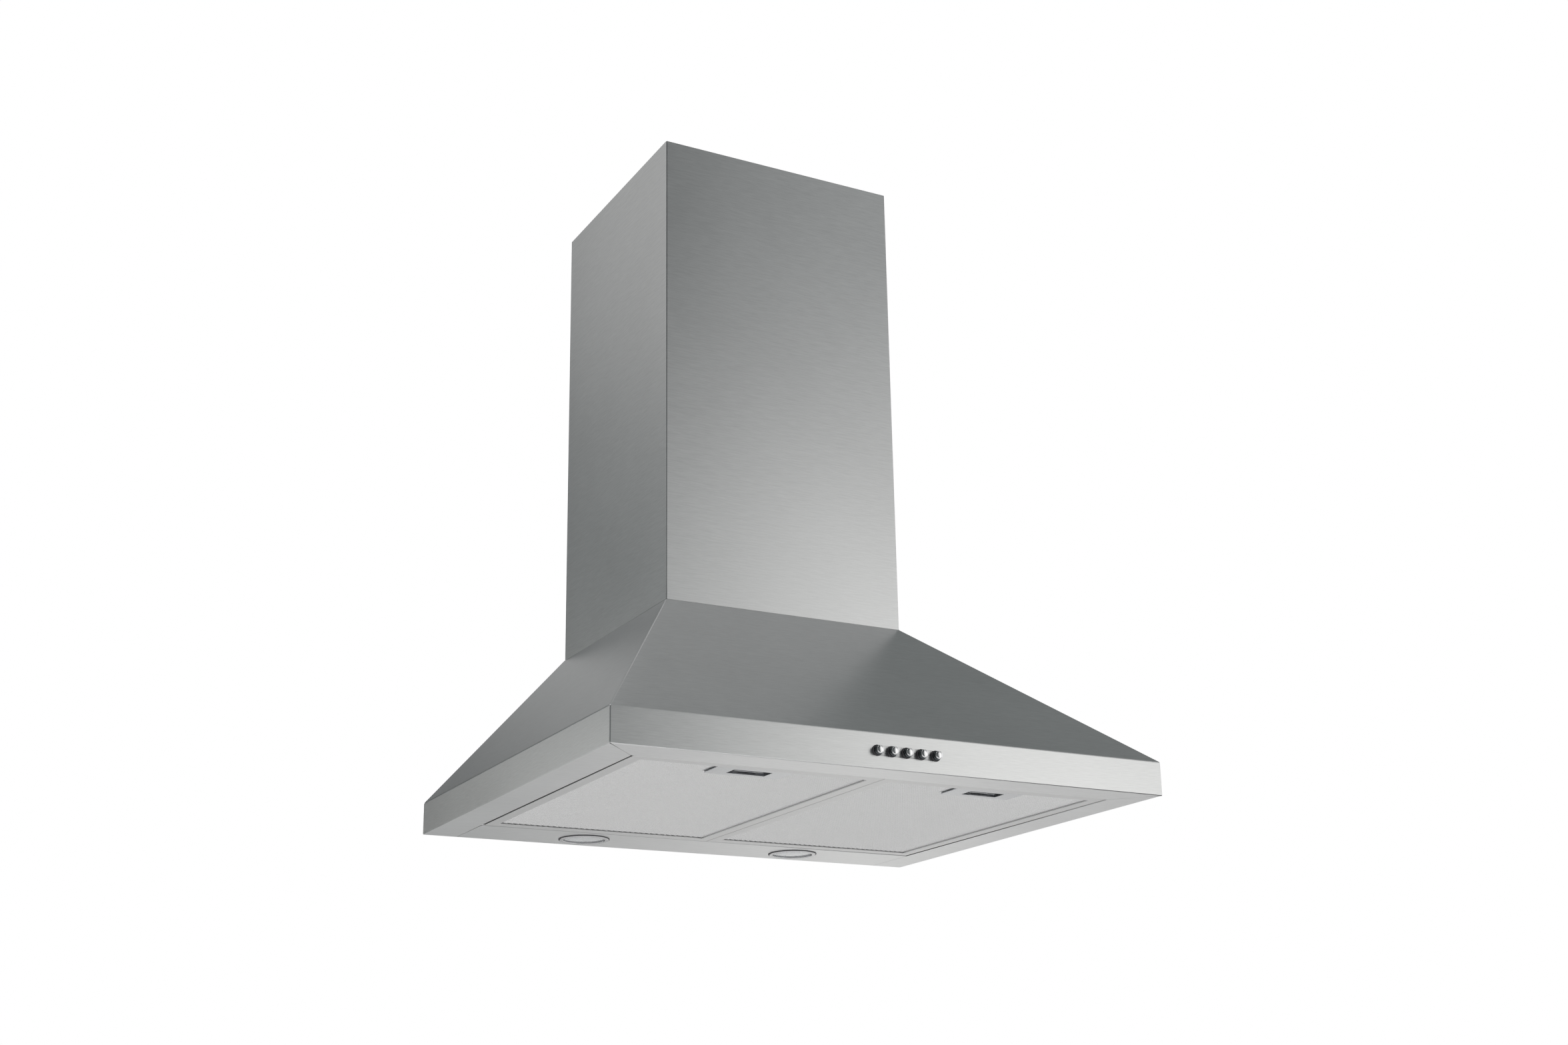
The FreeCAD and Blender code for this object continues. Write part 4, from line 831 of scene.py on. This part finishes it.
def floor():
    shader = Shader("pale_floor")
    surface = shader.principled(Roughness=0.8)
    spread = shader.noise((2.0, 2.0, 2.0))
    tint = shader.between(spread, (0.84, 0.84, 0.84), (0.88, 0.88, 0.88))
    shader.link(tint, surface.inputs["Base Color"])
    reach = 9.0
    level = -1.7
    corners = [
        (-reach, -reach, level),
        (reach, -reach, level),
        (reach, reach, level),
        (-reach, reach, level),
    ]
    stage_plane("floor", corners, shader.material)


def grey(value):
    """Card grey, a little cooler where it is dark and warmer where it is bright."""
    cool = max(0.0, 0.5 - value)
    warm = max(0.0, value - 0.6)
    return (value * (1 - 0.2 * cool), value, value * (1 + 0.03 * cool - 0.035 * warm))


def card(name, corners, across, upwards, strength=1.0):
    """Grey studio card that only polished surfaces see.

    across and upwards are brightness stops, each a place in metres and a value.  On a card that
    lies flat, upwards runs along Y.
    """
    low = [min(corner[axis] for corner in corners) for axis in range(3)]
    span = [max(corner[axis] for corner in corners) - low[axis] for axis in range(3)]
    no_span = 0.01
    wide = 0 if span[0] > no_span else 1
    tall = 2 if span[2] > no_span else 1
    shader = Shader(name)
    glow = shader.add("ShaderNodeEmission")
    glow.inputs["Strength"].default_value = strength
    split = shader.add("ShaderNodeSeparateXYZ")
    place = shader.add("ShaderNodeTexCoord")
    shader.link(place.outputs["Generated"], split.inputs[0])
    tones = []
    for axis, stops in ((wide, across), (tall, upwards)):
        shares = [((where - low[axis]) / span[axis], grey(value)) for where, value in stops]
        tones.append(shader.ramp(split.outputs[axis], *shares))
    product = shader.add("ShaderNodeMix", data_type="RGBA", blend_type="MULTIPLY")
    product.inputs["Factor"].default_value = 1.0
    shader.link(tones[0], product.inputs["A"])
    shader.link(tones[1], product.inputs["B"])
    shader.link(product.outputs["Result"], glow.inputs["Color"])
    shader.link(glow.outputs[0], shader.out.inputs["Surface"])
    item = stage_plane(name, corners, shader.material)
    item.visible_camera = False
    item.visible_diffuse = False
    item.visible_shadow = False
    item.visible_transmission = False


def wall_card(name, left, right, y, bottom, top, across, upwards, strength=1.0):
    """Upright card across the view, facing along Y."""
    corners = [(left, y, bottom), (right, y, bottom), (right, y, top), (left, y, top)]
    card(name, corners, across, upwards, strength)


def lights():
    """Square lamps: name, place, target, size in metres and power in watts."""
    for name, place, target, size, power in (
        ("key", (1.6, -2.2, 2.2), (0, -0.25, 0.2), 2.0, 35),
        ("fill", (-2.4, -1.6, 0.4), (0, -0.25, 0.1), 2.0, 16),
        ("under", (0.4, -1.6, -1.5), (0, -0.25, 0.0), 1.6, 10),
    ):
        data = bpy.data.lights.new(name, "AREA")
        data.size = size
        data.energy = power
        item = bpy.data.objects.new(name, data)
        bpy.context.scene.collection.objects.link(item)
        item.location = place
        aim = Vector(target) - Vector(place)
        item.rotation_euler = aim.to_track_quat("-Z", "Y").to_euler()
        item.visible_glossy = False


def studio():
    world()
    floor()
    lights()
    wall_card(
        "front_card", -3.4, 5.0, -3.0, -1.6, 6.0,
        across=(
            (-1.0, 0.10), (0.62, 0.08), (0.86, 0.13), (1.08, 0.42),
            (1.50, 0.76), (1.90, 0.97), (2.30, 0.68),
        ),
        upwards=(
            (0.60, 1.0), (1.05, 0.93), (1.70, 0.47),
            (2.45, 0.245), (3.10, 0.27), (4.20, 0.78),
        ),
        strength=1.45,
    )
    wall_card(
        "back_left_low_card", -3.4, 0.2, 3.0, -1.0, 0.95,
        across=(
            (-2.80, 0.05), (-2.25, 0.30), (-1.98, 1.0), (-1.84, 1.0),
            (-1.74, 0.22), (-1.60, 0.04), (-1.40, 0.01),
        ),
        upwards=((0.0, 1.0), (0.9, 1.0)),
        strength=1.9,
    )
    wall_card(
        "back_left_card", -3.4, 0.2, 3.0, 0.95, 4.4,
        across=(
            (-1.90, 0.9), (-1.75, 1.0), (-1.62, 0.97),
            (-1.50, 0.76), (-1.40, 0.40), (-1.25, 0.28),
        ),
        upwards=((1.05, 0.25), (1.40, 0.29), (1.80, 0.40), (2.10, 0.55), (2.45, 0.62)),
        strength=1.12,
    )
    wall_card(
        "back_right_card", 0.2, 4.6, 3.0, 0.9, 4.4,
        across=((0.3, 0.43), (0.8, 0.47), (4.0, 0.42)),
        upwards=((0.95, 0.68), (1.15, 0.74), (1.30, 0.84), (1.48, 1.0), (1.72, 0.88)),
        strength=1.1,
    )
    wall_card(
        "low_card", -1.0, 5.6, 4.0, -1.65, 0.6,
        across=(
            (-0.6, 0.27), (0.6, 0.32), (1.2, 0.40), (1.7, 0.48), (2.1, 0.64),
            (2.6, 0.82), (3.0, 0.72), (3.4, 0.58), (3.9, 0.52),
        ),
        upwards=((-1.6, 1.0), (0.5, 1.0)),
    )
    card(
        "left_card",
        [(-3.4, -3.0, -1.6), (-3.4, 3.0, -1.6), (-3.4, 3.0, 4.4), (-3.4, -3.0, 4.4)],
        across=((-3.0, 0.20), (3.0, 0.24)),
        upwards=((-1.6, 1.0), (4.0, 1.0)),
    )
    card(
        "ceiling_card",
        [(-0.5, -1.5, 2.6), (4.0, -1.5, 2.6), (4.0, 3.6, 2.6), (-0.5, 3.6, 2.6)],
        across=((0.0, 0.21), (1.7, 0.20), (1.85, 0.17), (2.1, 0.19), (3.0, 0.21)),
        upwards=((-1.5, 1.0), (3.6, 1.0)),
    )


# ---------------------------------------------------------------- build

FOLDED_SHEETS = {  # fold radius and sheet thickness in millimetres
    "canopy_shell": (0.95, 1.0),
    "lower_chimney_cover": (1.1, 0.8),
    "upper_chimney_cover": (1.1, 0.8),
    "lamp_strip": (1.2, 1.0),
}
EASED_NODES = {  # edge radius in millimetres
    "back_plate": 0.3,
    "chimney_wall_bracket": 0.5,
    "blower_case": 0.3,
    "scroll_half_left": 0.5,
    "scroll_half_right": 0.5,
    "inlet_grille": 0.5,
    "motor": 1.2,
    "motor_bracket": 0.5,
    "motor_screws": 0.4,
    "case_screws": 0.4,
    "collar_screws": 0.4,
    "junction_screws": 0.4,
    "capacitor": 1.0,
    "duct_collar": 0.5,
    "outlet_flap_rear": 0.3,
    "outlet_flap_front": 0.3,
    "junction_box": 0.8,
    "junction_lid": 0.6,
    "cable_gland": 0.4,
    "switch_block": 0.15,
    "lampholder_left": 0.6,
    "lampholder_right": 0.6,
}
BUTTONS = [f"button_{index}" for index in range(1, 6)]

camera()
studio()
slots = slots_by_node()
for carried, slot_name in slots.items():
    dress(frame["nodes"][carried], slot_name)
for sheet_node, (fold_radius, thickness) in FOLDED_SHEETS.items():
    folded(sheet_node, "stainless", fold_radius * MM, thickness * MM)
for push_button in BUTTONS:
    button(push_button)
button_rings(BUTTONS)
for hand in ("left", "right"):
    expanded_sheet(hand)
    mat(hand)
    lamp(hand)
    rounded(f"filter_frame_{hand}", "filter_aluminium", 0.45 * MM, segments=3)
    rounded(f"latch_cup_{hand}", "latch_plastic", 0.45 * MM, segments=3)
    rounded(f"latch_slider_{hand}", "latch_plastic", 0.3 * MM, segments=3)
for eased, eased_radius in EASED_NODES.items():
    rounded(eased, slots[eased], eased_radius * MM)
for hand in ("left", "right"):
    leaf_spring(hand, slots[f"latch_spring_{hand}"])

scene = bpy.context.scene
scene.view_settings.view_transform = "Standard"
bpy.context.view_layer.update()
